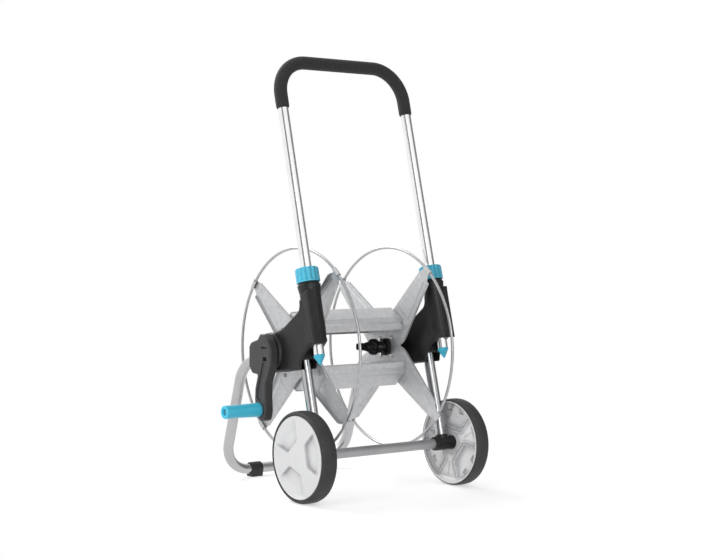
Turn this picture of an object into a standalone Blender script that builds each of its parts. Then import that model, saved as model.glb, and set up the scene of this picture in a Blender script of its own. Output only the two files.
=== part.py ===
"""Hose reel cart: an aluminium tube trolley with a telescopic handle, two wheels and a cranked hose drum.

Metres, +Z up. The crank is on the -X side and the user stands on the -Y side, where the handle leans
away towards +Y. The floor is at Z = 0 and the origin is under the middle of the cart's outer box.
"""

import math

import bmesh
import bpy
from mathutils import Matrix, Vector

# Frame layout
SIDE_X = 0.157  # mid plane of each side's tubes, from the cart's centre
LEAN = math.radians(14.3)  # handle and legs lean back from upright
HANDLE_FRONT = 0.0517  # handle tube's axis ahead of the axle, at axle height

# Tubes
TUBE_R = 0.011
TUBE_WALL = 0.0015
TUBE_SIDES = 12
AXLE_TUBE_R = 0.010
ROD_R = 0.004
FIT = 0.0003  # gap between pieces that seat on each other

# Handle
HANDLE_TOP = 0.8718
HANDLE_END = 0.287  # lower tube ends
HANDLE_BEND = 0.070
GRIP_R = 0.0135
GRIP_DROP = 0.0973  # the foam ends this far below the handle's top
GRIP_END = HANDLE_TOP - GRIP_DROP
PLUG_LENGTH = 0.0205

# Clamp collars
COLLAR_R = 0.0235
COLLAR_LOW = 0.427
COLLAR_LENGTH = 0.029
COLLAR_FLUTES = 14
FLUTE_DEPTH = 0.0011
SPIGOT_R = 0.0175
SPIGOT_RISE = 0.012

# Wheels
WHEEL_R = 0.090
WHEEL_X = 0.1923  # middle of each wheel
WHEEL_WIDTH = 0.034
WHEEL_SIDES = 32
TYRE_DEPTH = 0.008
DISC_R = WHEEL_R - TYRE_DEPTH
RIM_WALL = 0.003
WEB_DEPTH = 0.0075  # the wheel's inner face, from the tyre's inner edge
PAD_DEPTH = 0.0065
PAD_RIM = 0.007  # plain rim outside the pads
PAD_IN = 0.032
PAD_OUT = DISC_R - PAD_RIM
INNER_PAD_DEPTH = 0.0035
PAD_HALF = math.radians(30)
PAD_STARTS = (math.radians(48.5), math.radians(95))  # as the two wheels happen to stand
ROD_END_WALL = 0.0067  # the wheel's face closes over the rod's end

# Reel
REEL_Y = 0.1295
REEL_Z = 0.2846
REEL_REST = math.radians(-6)
RING_R = 0.210
WIRE_R = 0.003
PLATE_X = 0.110  # middle of the disc plates near the hub
RING_OUT = 0.006  # the rings stand this far out from the plates
SHEET = 0.0012
ARM_NOTCH = 0.050
ARM_TIP_HALF = 0.0135
HOOK_BACK = 0.004  # the arms turn into hooks this far inside the rings
TIP_FLAT = 0.012
PANEL_START = 0.020
ARM_FLANGE = 0.006
HOOK_HALF = 0.010
PANEL_INSET = 0.007
PANEL_DEPTH = 0.0015
FOLD_R = 0.083  # where an arm starts to flare outwards
HUB_FLANGE_R = 0.034
JOURNAL_R = 0.012
SLEEVE_R = 0.014
BEAM_TOP = 0.081
BEAM_TOP_HALF = 0.026
BEAM_SHOULDER = (0.058, 0.0585)
BEAM_LIP = (0.062, 0.0355)
TAB_REACH = 0.005
TAB_MARGIN = 0.0075
LIP = (0.004, 0.003)
CENTRE_HOLE_R = 0.009

# Side housings
HOUSING_HALF = 0.020  # half thickness across the cart
BOSS_R = 0.040
BOSS_OUT = 0.0325  # boss faces, from the side's mid plane
BOSS_IN = 0.0205
NECK_R = 0.0232
SLEEVE_LOW = 0.3065
WALL = 0.004
ARM_EDGE = 0.0035  # rounding of the arm's long edges
ARM_FLARE = 0.08  # the arm's outer face leans out towards the boss

# Crank and its knob
CRANK_THICK = 0.020
CRANK_REACH = 0.1126
KEY = 0.011  # square key between the left hub and the crank
KNOB_R = 0.0135
KNOB_LENGTH = 0.083
PIN_R = 0.005

# Rear frame
RAIL_Y = 0.349
RAIL_Z = 0.017
RAIL_BEND = 0.064
REAR_KNEE_Z = 0.251
REAR_SLOPE = 0.32
REAR_BEND = 0.070
SOCKET_DEPTH = 0.022
FOOT_IN = 0.065
FOOT_LENGTH = 0.028
FOOT_WALL = 0.0025

# Axle connectors
CONNECTOR_R = 0.0145
CONNECTOR_IN = 0.134
CONNECTOR_LENGTH = 0.050

# Hose fitting on the drum and water inlet
FITTING_R = 0.018
OUTLET = 0.0055  # straight run from the elbow's bend to its nut
NUT_R = 0.017
NUT_LENGTH = 0.019
ELBOW = math.radians(45)
WATER_R = 0.0045

LEAN_DIR = Vector((0, math.sin(LEAN), math.cos(LEAN)))
AXLE_Z = WHEEL_R
BLUE = ((0.035, 0.42, 0.66), 0.42, 0.0)
BLACK = ((0.022, 0.022, 0.024), 0.5, 0.0)
FOAM = ((0.030, 0.030, 0.032), 0.85, 0.0)
PALE = ((0.70, 0.70, 0.72), 0.5, 0.0)
TYRE = ((0.035, 0.035, 0.037), 0.75, 0.0)
ALUMINIUM = ((0.77, 0.77, 0.78), 0.25, 1.0)
ZINC = ((0.60, 0.61, 0.63), 0.4, 1.0)
STEEL = ((0.62, 0.62, 0.63), 0.3, 1.0)


def new_collection(name):
    made = bpy.data.collections.new(name)
    bpy.context.scene.collection.children.link(made)
    return made


def finish(name, look):
    """A Principled material with a colour, a roughness and a metallic value."""
    made = bpy.data.materials.new(name)
    made.use_nodes = True
    shader = made.node_tree.nodes["Principled BSDF"]
    shader.inputs["Base Color"].default_value = (*look[0], 1)
    shader.inputs["Roughness"].default_value = look[1]
    shader.inputs["Metallic"].default_value = look[2]
    return made


def empty(name, location, rotation=(0, 0, 0), parent=None):
    made = bpy.data.objects.new(name, None)
    parts.objects.link(made)
    made.location = location
    made.rotation_euler = rotation
    made.parent = parent
    return made


def add(name, mesh, location=(0, 0, 0), rotation=(0, 0, 0), parent=None, look=None):
    """One object in the scene. Without a look it is a helper, for cutting or joining."""
    made = bpy.data.objects.new(name, mesh)
    made.location = location
    made.rotation_euler = rotation
    made.parent = parent or cart
    if look is None:
        tools.objects.link(made)
        made.hide_render = True
        made.display_type = "WIRE"
        return made
    parts.objects.link(made)
    mesh.materials.append(finish(name, look))
    mesh.shade_smooth()
    mesh.set_sharp_from_angle(angle=math.radians(35))
    return made


def settle(obj):
    """Turns an object's modifiers into plain mesh, in place."""
    bpy.context.view_layer.update()
    graph = bpy.context.evaluated_depsgraph_get()
    mesh = bpy.data.meshes.new_from_object(obj.evaluated_get(graph))
    obj.modifiers.clear()
    obj.data = mesh
    return obj


def boolean(obj, other, operation):
    change = obj.modifiers.new(operation.title(), "BOOLEAN")
    change.operation = operation
    change.object = other
    change.solver = "EXACT"


def cut(obj, *others):
    for other in others:
        boolean(obj, other, "DIFFERENCE")


def join(obj, *others):
    for other in others:
        boolean(obj, other, "UNION")


def soften(obj, width, segments=2, angle=35):
    change = obj.modifiers.new("Edges", "BEVEL")
    change.width = width
    change.segments = segments
    change.limit_method = "ANGLE"
    change.angle_limit = math.radians(angle)


def turned_mesh(name, profile, sides=20, closed=False):
    """A profile of (radius, height) points turned round Z. It runs down its outer side."""
    mesh = bpy.data.meshes.new(name)
    count = len(profile)
    edges = [(i, i + 1) for i in range(count - 1)]
    if closed:
        edges.append((count - 1, 0))
    mesh.from_pydata([(r, 0, h) for r, h in profile], edges, [])
    made = bpy.data.objects.new(name, mesh)
    tools.objects.link(made)
    turn = made.modifiers.new("Turn", "SCREW")
    turn.axis = "Z"
    turn.steps = sides
    turn.render_steps = sides
    turn.use_merge_vertices = True
    turn.merge_threshold = 0.00001
    settle(made)
    mesh = made.data
    bpy.data.objects.remove(made)
    mesh.name = name
    return mesh


def rod_mesh(name, radius, low, high, sides=20):
    return turned_mesh(name, [(0, high), (radius, high), (radius, low), (0, low)], sides)


def rounded(corners, radii, steps=6):
    """The corner points joined by straight runs, with an arc at each corner that has a radius."""
    corners = [Vector(c) for c in corners]
    path = [corners[0]]
    for before, corner, after, radius in zip(corners, corners[1:], corners[2:], radii):
        back = (before - corner).normalized()
        ahead = (after - corner).normalized()
        half = back.angle(ahead) / 2
        centre = corner + (back + ahead).normalized() * radius / math.sin(half)
        start = (corner + back * radius / math.tan(half) - centre).normalized()
        end = (corner + ahead * radius / math.tan(half) - centre).normalized()
        for i in range(steps + 1):
            path.append(centre + start.slerp(end, i / steps) * radius)
    path.append(corners[-1])
    return path


def outline(corners, radii, steps=3):
    """A closed flat outline with rounded corners, each no rounder than its sides allow."""
    ring = [Vector((*c, 0)) for c in corners]
    path = []
    count = len(ring)
    for i in range(count):
        before, corner, after = ring[i - 1], ring[i], ring[(i + 1) % count]
        if not radii[i]:
            path.append(corner)
            continue
        room = 0.45 * min((before - corner).length, (after - corner).length)
        half = (before - corner).angle(after - corner) / 2
        radius = min(radii[i], room * math.tan(half))
        path += rounded([before, corner, after], [radius], steps)[1:-1]
    return path


def mesh_of(curve, name):
    """The mesh that a curve makes, with its loose caps welded on."""
    holder = bpy.data.objects.new(name, curve)
    tools.objects.link(holder)
    settle_graph = bpy.context.evaluated_depsgraph_get()
    mesh = bpy.data.meshes.new_from_object(holder.evaluated_get(settle_graph))
    bpy.data.objects.remove(holder)
    bpy.data.curves.remove(curve)
    shape = bmesh.new()
    shape.from_mesh(mesh)
    bmesh.ops.remove_doubles(shape, verts=shape.verts, dist=0.000002)
    bmesh.ops.recalc_face_normals(shape, faces=shape.faces)
    shape.to_mesh(mesh)
    shape.free()
    mesh.name = name
    return mesh


def tube_mesh(name, path, radius, caps, sides=TUBE_SIDES):
    curve = bpy.data.curves.new(name, "CURVE")
    curve.dimensions = "3D"
    spline = curve.splines.new("POLY")
    spline.points.add(len(path) - 1)
    for point, place in zip(spline.points, path):
        point.co = (*place, 1)
    curve.bevel_depth = radius
    curve.bevel_resolution = sides // 2 - 2
    curve.use_fill_caps = caps
    return mesh_of(curve, name)


def slab_mesh(name, path, thickness, edge=0, resolution=1):
    """A flat outline in (Y, Z), as thick as asked across X, centred on X = 0, with rounded edges."""
    curve = bpy.data.curves.new(name, "CURVE")
    curve.dimensions = "2D"
    curve.fill_mode = "BOTH"
    curve.extrude = thickness / 2 - edge
    curve.bevel_depth = edge
    curve.bevel_resolution = resolution
    curve.offset = -edge
    spline = curve.splines.new("POLY")
    spline.points.add(len(path) - 1)
    for point, place in zip(spline.points, path):
        point.co = (place[0], place[1], 0, 1)
    spline.use_cyclic_u = True
    mesh = mesh_of(curve, name)
    # The drawing plane's axes become Y and Z.
    mesh.transform(Matrix(((0, 0, 1, 0), (1, 0, 0, 0), (0, 1, 0, 0), (0, 0, 0, 1))))
    return mesh


def box_mesh(name, size, centre=(0, 0, 0)):
    shape = bmesh.new()
    bmesh.ops.create_cube(shape, size=1)
    bmesh.ops.scale(shape, vec=size, verts=shape.verts)
    bmesh.ops.translate(shape, vec=centre, verts=shape.verts)
    mesh = bpy.data.meshes.new(name)
    shape.to_mesh(mesh)
    shape.free()
    return mesh


def hollow_tube(name, path, radius, wall, look):
    """A bent tube, open at both ends."""
    made = add(name, tube_mesh(name, path, radius, False), look=look)
    shell = made.modifiers.new("Wall", "SOLIDIFY")
    shell.thickness = wall
    shell.offset = -1
    shell.use_even_offset = True
    return made


def on_handle(z):
    """Y of the handle tube's axis at a height."""
    return (z - AXLE_Z) * math.tan(LEAN) - HANDLE_FRONT


def on_leg(z):
    return (z - AXLE_Z) * math.tan(LEAN)


for old in list(bpy.data.objects):
    bpy.data.objects.remove(old)
parts = new_collection("hose_reel_cart")
tools = new_collection("cutters")

# The outer box, which places the origin under its middle
knob_end = SIDE_X + BOSS_OUT + FIT + CRANK_THICK + FIT + KNOB_LENGTH
wheel_face = WHEEL_X + WHEEL_WIDTH / 2
box_x = (wheel_face - knob_end) / 2
box_y = (RAIL_Y + TUBE_R + 2 * FIT + FOOT_WALL - WHEEL_R) / 2
cart = empty("cart_origin", (-box_x, -box_y, 0))
tilt = (-LEAN, 0, 0)
sides = (("left", -1), ("right", 1))


# Telescopic handle: one bent tube with a foam sleeve and two pointed end plugs
def handle_path(low):
    corners = []
    for x, z in ((-SIDE_X, low), (-SIDE_X, HANDLE_TOP), (SIDE_X, HANDLE_TOP), (SIDE_X, low)):
        corners.append((x, on_handle(z), z))
    return rounded(corners, [HANDLE_BEND] * 2, 5)


hollow_tube("handle_tube", handle_path(HANDLE_END), TUBE_R, TUBE_WALL, ALUMINIUM)
hollow_tube("handle_grip", handle_path(GRIP_END), GRIP_R, GRIP_R - TUBE_R - FIT, FOAM)
stem_r = TUBE_R * math.cos(math.pi / TUBE_SIDES) - TUBE_WALL - FIT
plug = turned_mesh(
    "end_plug",
    [
        (0, 0.012),
        (stem_r - 0.0005, 0.012),
        (stem_r, 0),
        (TUBE_R, 0),
        (TUBE_R, -0.001),
        (0.0018, -PLUG_LENGTH + 0.0006),
        (0, -PLUG_LENGTH),
    ],
    16,
)
for name, side in sides:
    add(
        "end_plug_" + name,
        plug.copy(),
        Vector((side * SIDE_X, on_handle(HANDLE_END), HANDLE_END)) - LEAN_DIR * FIT,
        tilt,
        look=BLUE,
    )

# Clamp collars: fluted nuts over a split collet that grips the handle tube
collar_bore = TUBE_R + 0.0006
cavity_r = SPIGOT_R + FIT + 0.0005
collar_mesh = turned_mesh(
    "collar",
    [
        (COLLAR_R - 0.0020, COLLAR_LENGTH),
        (COLLAR_R, COLLAR_LENGTH - 0.0022),
        (COLLAR_R, 0),
        (cavity_r, 0),
        (cavity_r, SPIGOT_RISE + 0.0020),
        (collar_bore, COLLAR_LENGTH - 0.0040),
        (collar_bore, COLLAR_LENGTH),
    ],
    3 * COLLAR_FLUTES,
    closed=True,
)
shape = bmesh.new()
shape.from_mesh(collar_mesh)
for v in shape.verts:
    turn = math.atan2(v.co.y, v.co.x) / (2 * math.pi) * 3 * COLLAR_FLUTES
    outside = math.hypot(v.co.x, v.co.y) > COLLAR_R - 0.001
    if outside and round(turn) % 3 == 0:
        v.co -= Vector((v.co.x, v.co.y, 0)).normalized() * FLUTE_DEPTH
shape.to_mesh(collar_mesh)
shape.free()
for name, side in sides:
    foot = Vector((side * SIDE_X, on_handle(COLLAR_LOW), COLLAR_LOW))
    add("collar_" + name, collar_mesh.copy(), foot, tilt, look=BLUE)

collet_in = TUBE_R + 0.0002
collet_low = SPIGOT_RISE + FIT
collet_high = COLLAR_LENGTH - 0.0060
cone = (cavity_r - collar_bore) / (COLLAR_LENGTH - 0.0040 - SPIGOT_RISE - 0.0020)
collet_mesh = turned_mesh(
    "collet",
    [
        (collar_bore + cone * 0.0020 - 2 * FIT, collet_high),
        (cavity_r - 2 * FIT, SPIGOT_RISE + 0.0020),
        (cavity_r - 2 * FIT, collet_low),
        (collet_in, collet_low),
        (collet_in, collet_high),
    ],
    20,
    closed=True,
)
for name, side in sides:
    foot = Vector((side * SIDE_X, on_handle(COLLAR_LOW), COLLAR_LOW))
    collet = add("collet_" + name, collet_mesh.copy(), foot, tilt, look=PALE)
    gap = box_mesh("collet_gap", (0.02, 0.002, 0.05), (side * -0.012, 0, 0.01))
    cut(collet, add("collet_gap_" + name, gap, foot, tilt))
    settle(collet)

# Side housings: a tube sleeve, an arm and a round boss in one moulding, split on the tubes' plane
sleeve_top = (COLLAR_LOW - AXLE_Z) / math.cos(LEAN)
sleeve_low = (SLEEVE_LOW - AXLE_Z) / math.cos(LEAN)
sleeve_mesh = turned_mesh(
    "housing_sleeve",
    [
        (0, sleeve_top + SPIGOT_RISE),
        (SPIGOT_R, sleeve_top + SPIGOT_RISE),
        (SPIGOT_R, sleeve_top - FIT),
        (NECK_R - 0.001, sleeve_top - FIT),
        (NECK_R, sleeve_top - 0.0015),
        (NECK_R - 0.0010, sleeve_top - 0.014),
        (0.0206, sleeve_top - 0.036),
        (0.0206, sleeve_low + 0.030),
        (0.0186, sleeve_low + 0.006),
        (0.0170, sleeve_low),
        (0, sleeve_low),
    ],
    22,
)
arm_corners = [
    (on_handle(0.395), 0.395),
    (on_handle(0.395) + 0.0130, 0.395),
    (0.0365, 0.3745),
    (0.092, 0.334),
    (REEL_Y, REEL_Z + BOSS_R - 0.001),
    (REEL_Y + 0.010, REEL_Z),
    (REEL_Y, REEL_Z - BOSS_R + 0.0005),
    (0.0315, 0.2565),
    (0.0290, 0.2760),
    (-0.0060, 0.3147),
    (on_handle(0.330) - 0.007, 0.330),
]
arm_radii = [0, 0.004, 0.022, 0.060, 0, 0, 0, 0.003, 0.006, 0.004, 0]
recess_corners = [
    (0.0680, 0.2400),
    (0.0680, 0.2660),
    (0.0600, 0.2755),
    (0.0325, 0.2755),
    (0.0370, 0.2945),
    (0.0300, 0.3005),
    (-0.0300, 0.3005),
    (-0.0300, 0.2400),
]
recess_radii = [0, 0.003, 0.003, 0.002, 0.002, 0.003, 0, 0]
boss_mesh = turned_mesh(
    "housing_boss",
    [
        (0, BOSS_OUT),
        (BOSS_R - 0.0040, BOSS_OUT),
        (BOSS_R, BOSS_OUT - 0.0040),
        (BOSS_R, 0.004 - BOSS_IN),
        (BOSS_R - 0.004, -BOSS_IN),
        (0, -BOSS_IN),
    ],
    26,
)
rear_run = Vector((0, RAIL_Y - REAR_SLOPE * (REAR_KNEE_Z - RAIL_Z) - REEL_Y, REAR_KNEE_Z - REEL_Z))
rear_dir = rear_run.normalized()
socket_at = Vector((0, REEL_Y, REEL_Z)) + rear_dir * (BOSS_R - SOCKET_DEPTH)
rear_tilt = -math.atan2(rear_dir.y, rear_dir.z)
leg_top = 0.318
bore_r = TUBE_R + 0.00035


def flare(mesh, side):
    """Leans a slab's outer face outwards, further out the nearer it is to the boss."""
    for v in mesh.vertices:
        if v.co.x * side > 0:
            v.co.x += side * ARM_FLARE * v.co.y


for name, side in sides:
    mid = side * SIDE_X
    face = (0, side * math.pi / 2, 0)
    axle_point = (mid, 0, AXLE_Z)
    handle_point = (mid, -HANDLE_FRONT, AXLE_Z)
    arm = slab_mesh("housing_arm", outline(arm_corners, arm_radii, 2), HOUSING_HALF * 2, ARM_EDGE)
    flare(arm, side)
    body = add("housing_body_" + name, arm, (mid, 0, 0))
    sleeve = add("sleeve_" + name, sleeve_mesh.copy(), handle_point, tilt)
    boss = add("boss_" + name, boss_mesh.copy(), (mid, REEL_Y, REEL_Z), face)
    join(body, sleeve, boss)
    tube_bore = rod_mesh("tube_bore", bore_r, sleeve_low - 0.06, sleeve_top + 0.05)
    leg_bore = rod_mesh("leg_bore", bore_r, 0.12, (leg_top + FIT - AXLE_Z) / math.cos(LEAN))
    rear_bore = rod_mesh("rear_bore", bore_r, -FIT, 0.06)
    reel_bore = rod_mesh("reel_bore", JOURNAL_R + 2 * FIT, -0.05, 0.06)
    recess = slab_mesh("recess", outline(recess_corners, recess_radii, 1), 2 * (HOUSING_HALF - WALL))
    flare(recess, side)
    cut(
        body,
        add("tube_bore_" + name, tube_bore, handle_point, tilt),
        add("leg_bore_" + name, leg_bore, axle_point, tilt),
        add("rear_bore_" + name, rear_bore, socket_at + Vector((mid, 0, 0)), (rear_tilt, 0, 0)),
        add("reel_bore_" + name, reel_bore, (mid, REEL_Y, REEL_Z), face),
        add("recess_" + name, recess, (mid, 0, 0)),
    )
    settle(body)
    for half, away in (("outer", side), ("inner", -side)):
        piece = add(f"housing_{half}_{name}", body.data.copy(), (mid, 0, 0), look=BLACK)
        other = box_mesh("half", (0.1, 0.6, 0.6), (-away * (0.05 - FIT / 2), 0.1, 0.33))
        cut(piece, add(f"half_{half}_{name}", other, (mid, 0, 0)))
        settle(piece)
    bpy.data.objects.remove(body)

# Legs: from the axle up into the housings
for name, side in sides:
    low = Vector((side * SIDE_X, 0, AXLE_Z)) + LEAN_DIR * (AXLE_TUBE_R + 0.0016)
    high = Vector((side * SIDE_X, on_leg(leg_top), leg_top))
    hollow_tube("leg_tube_" + name, [low, high], TUBE_R, TUBE_WALL, ALUMINIUM)

# Rear frame: one tube from housing to housing, down and across the floor
knee_y = RAIL_Y - REAR_SLOPE * (REAR_KNEE_Z - RAIL_Z)
rear_corners = []
rear_start = socket_at + rear_dir * FIT
for side in (-1, 1):
    ends = [
        (side * SIDE_X, rear_start.y, rear_start.z),
        (side * SIDE_X, knee_y, REAR_KNEE_Z),
        (side * SIDE_X, RAIL_Y, RAIL_Z),
    ]
    rear_corners += ends if side < 0 else ends[::-1]
rear_path = rounded(rear_corners, [REAR_BEND, RAIL_BEND, RAIL_BEND, REAR_BEND], 4)
hollow_tube("rear_frame_tube", rear_path, TUBE_R, TUBE_WALL, ALUMINIUM)

# Rubber feet: sleeves on the floor rail with a flat underside
foot_r = TUBE_R + 2 * FIT + FOOT_WALL
arc = [
    (foot_r * math.cos(math.radians(a)), RAIL_Z + foot_r * math.sin(math.radians(a)))
    for a in range(-20, 201, 20)
]
foot_outline = [(0.0105, 0)] + arc + [(-0.0105, 0)]
for name, side in sides:
    at = (side * (FOOT_IN + FOOT_LENGTH / 2), RAIL_Y, 0)
    shape = slab_mesh("foot", foot_outline, FOOT_LENGTH, 0.001, 0)
    foot = add("rear_foot_" + name, shape, at, look=BLACK)
    rail_bore = rod_mesh("rail_bore", TUBE_R + 2 * FIT, -0.05, 0.05)
    cut(foot, add("rail_bore_" + name, rail_bore, (at[0], RAIL_Y, RAIL_Z), (0, math.pi / 2, 0)))
    settle(foot)

# Axle: a tube between the legs, a steel rod through it, and a tee sleeve at each leg
axle_reach = CONNECTOR_IN + CONNECTOR_LENGTH - 0.0035
hollow_tube(
    "axle_tube",
    [(-axle_reach, 0, AXLE_Z), (axle_reach, 0, AXLE_Z)],
    AXLE_TUBE_R,
    TUBE_WALL,
    ALUMINIUM,
)
rod_reach = WHEEL_X + WHEEL_WIDTH / 2 - ROD_END_WALL
axle_rod = rod_mesh("axle_rod", ROD_R, -rod_reach, rod_reach, 16)
add("axle_rod", axle_rod, (0, 0, AXLE_Z), (0, math.pi / 2, 0), look=STEEL)
for name, side in sides:
    start = side * CONNECTOR_IN
    face = (0, side * math.pi / 2, 0)
    body = turned_mesh(
        "axle_connector",
        [
            (0, CONNECTOR_LENGTH),
            (CONNECTOR_R - 0.003, CONNECTOR_LENGTH),
            (CONNECTOR_R, CONNECTOR_LENGTH - 0.003),
            (CONNECTOR_R, 0),
            (0, 0),
        ],
        12,
    )
    connector = add("axle_connector_" + name, body, (start, 0, AXLE_Z), face, look=BLACK)
    stub = rod_mesh("stub", TUBE_R + 0.0025, 0, 0.0175, 12)
    leg_seat = rod_mesh("leg_seat", bore_r, AXLE_TUBE_R + 0.0012, 0.04, 12)
    tube_seat = rod_mesh("tube_seat", AXLE_TUBE_R + FIT, -0.01, CONNECTOR_LENGTH - 0.0035 + FIT, 12)
    rod_hole = rod_mesh("rod_hole", ROD_R + FIT, 0, CONNECTOR_LENGTH + 0.01, 12)
    crossing = (side * SIDE_X, 0, AXLE_Z)
    join(connector, add("stub_" + name, stub, crossing, tilt))
    cut(
        connector,
        add("leg_seat_" + name, leg_seat, crossing, tilt),
        add("tube_seat_" + name, tube_seat, (start, 0, AXLE_Z), face),
        add("rod_hole_" + name, rod_hole, (start, 0, AXLE_Z), face),
    )
    settle(connector)


# Wheels: a disc with three sunk pads on either face, in a solid tyre
def pad_mesh(name, depth, above):
    """One pad's space: a wedge, deepest at its inner edge and running out at the rim."""
    shape = bmesh.new()
    bmesh.ops.create_cube(shape, size=2)
    run_out = PAD_RIM / 2
    slope = depth / (PAD_OUT - PAD_IN)
    for v in shape.verts:
        inner = v.co.x < 0
        radius = PAD_IN if inner else PAD_OUT + run_out
        deep = depth if inner else FIT - slope * run_out
        height = above if v.co.z > 0 else -deep
        turn = math.copysign(PAD_HALF, v.co.y)
        v.co = (radius * math.cos(turn), radius * math.sin(turn), height)
    bmesh.ops.recalc_face_normals(shape, faces=shape.faces)
    mesh = bpy.data.meshes.new(name)
    shape.to_mesh(mesh)
    shape.free()
    return mesh


half_w = WHEEL_WIDTH / 2
wheel_in = WHEEL_X - half_w
face_in = WHEEL_WIDTH - 0.0012  # the disc's face sits just inside the tyre's edge
hub_low = CONNECTOR_IN + CONNECTOR_LENGTH + 0.0004 - wheel_in
hub_pocket = CONNECTOR_R + 0.0012
disc_mesh = turned_mesh(
    "wheel",
    [
        (0, face_in),
        (DISC_R - 0.0020, face_in),
        (DISC_R - FIT, face_in - 0.0017),
        (DISC_R - FIT, 0.0010),
        (DISC_R - RIM_WALL, 0.0010),
        (DISC_R - RIM_WALL - 0.0012, WEB_DEPTH),
        (hub_pocket, WEB_DEPTH),
        (hub_pocket, hub_low),
        (0, hub_low),
    ],
    WHEEL_SIDES,
)
bore_mesh = rod_mesh("wheel_bore", ROD_R + FIT, hub_low - 0.01, rod_reach + FIT - wheel_in, 12)
tyre_mesh = turned_mesh(
    "tyre",
    [
        (DISC_R, WHEEL_WIDTH),
        (WHEEL_R - 0.0050, WHEEL_WIDTH),
        (WHEEL_R - 0.0015, WHEEL_WIDTH - 0.0030),
        (WHEEL_R, WHEEL_WIDTH - 0.0080),
        (WHEEL_R, 0.0080),
        (WHEEL_R - 0.0015, 0.0030),
        (WHEEL_R - 0.0050, 0),
        (DISC_R, 0),
    ],
    WHEEL_SIDES,
    closed=True,
)
for (name, side), start in zip(sides, PAD_STARTS):
    at = (side * wheel_in, 0, AXLE_Z)
    face = (0, side * math.pi / 2, 0)
    wheel = add("wheel_" + name, disc_mesh.copy(), at, face, look=PALE)
    # Each mesh's X axis points down on the right wheel and up on the left one.
    for i in range(3):
        turn = Matrix.Rotation(math.pi / 2 + side * (start + i * 2 * math.pi / 3), 4, "Z")
        pad = pad_mesh("pad", PAD_DEPTH, 0.004)
        pad.transform(Matrix.Translation((0, 0, face_in)) @ turn)
        inner_pad = pad_mesh("inner_pad", INNER_PAD_DEPTH, 0.004)
        inner_pad.transform(Matrix.Translation((0, 0, WEB_DEPTH)) @ turn @ Matrix.Rotation(math.pi, 4, "X"))
        cut(
            wheel,
            add(f"pad_{name}_{i}", pad, at, face),
            add(f"inner_pad_{name}_{i}", inner_pad, at, face),
        )
    cut(wheel, add("wheel_bore_" + name, bore_mesh.copy(), at, face))
    settle(wheel)
    tyre = add("tyre_" + name, tyre_mesh.copy(), at, face, look=TYRE)
    settle(tyre)

# Reel: everything below turns about this axis
reel = empty("reel_axis", (0, REEL_Y, REEL_Z), (REEL_REST, 0, 0), cart)


def arm_half(r):
    """Half width of a disc plate's arm at a distance from the reel's axis."""
    root = ARM_NOTCH / math.sqrt(2)
    return root + (ARM_TIP_HALF - root) * (r - root) / (RING_R - root)


plate_tip = RING_R - HOOK_BACK
hook_r = WIRE_R + 0.0005 + SHEET / 2
ring_x = PLATE_X + RING_OUT


def plate_x(r):
    """How far out the plate's sheet lies at a radius: flat at the hub, flared along the arms."""
    flare = ring_x - hook_r - PLATE_X
    return PLATE_X + flare * max(0.0, min(1.0, (r - FOLD_R) / (plate_tip - FOLD_R)))


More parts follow.
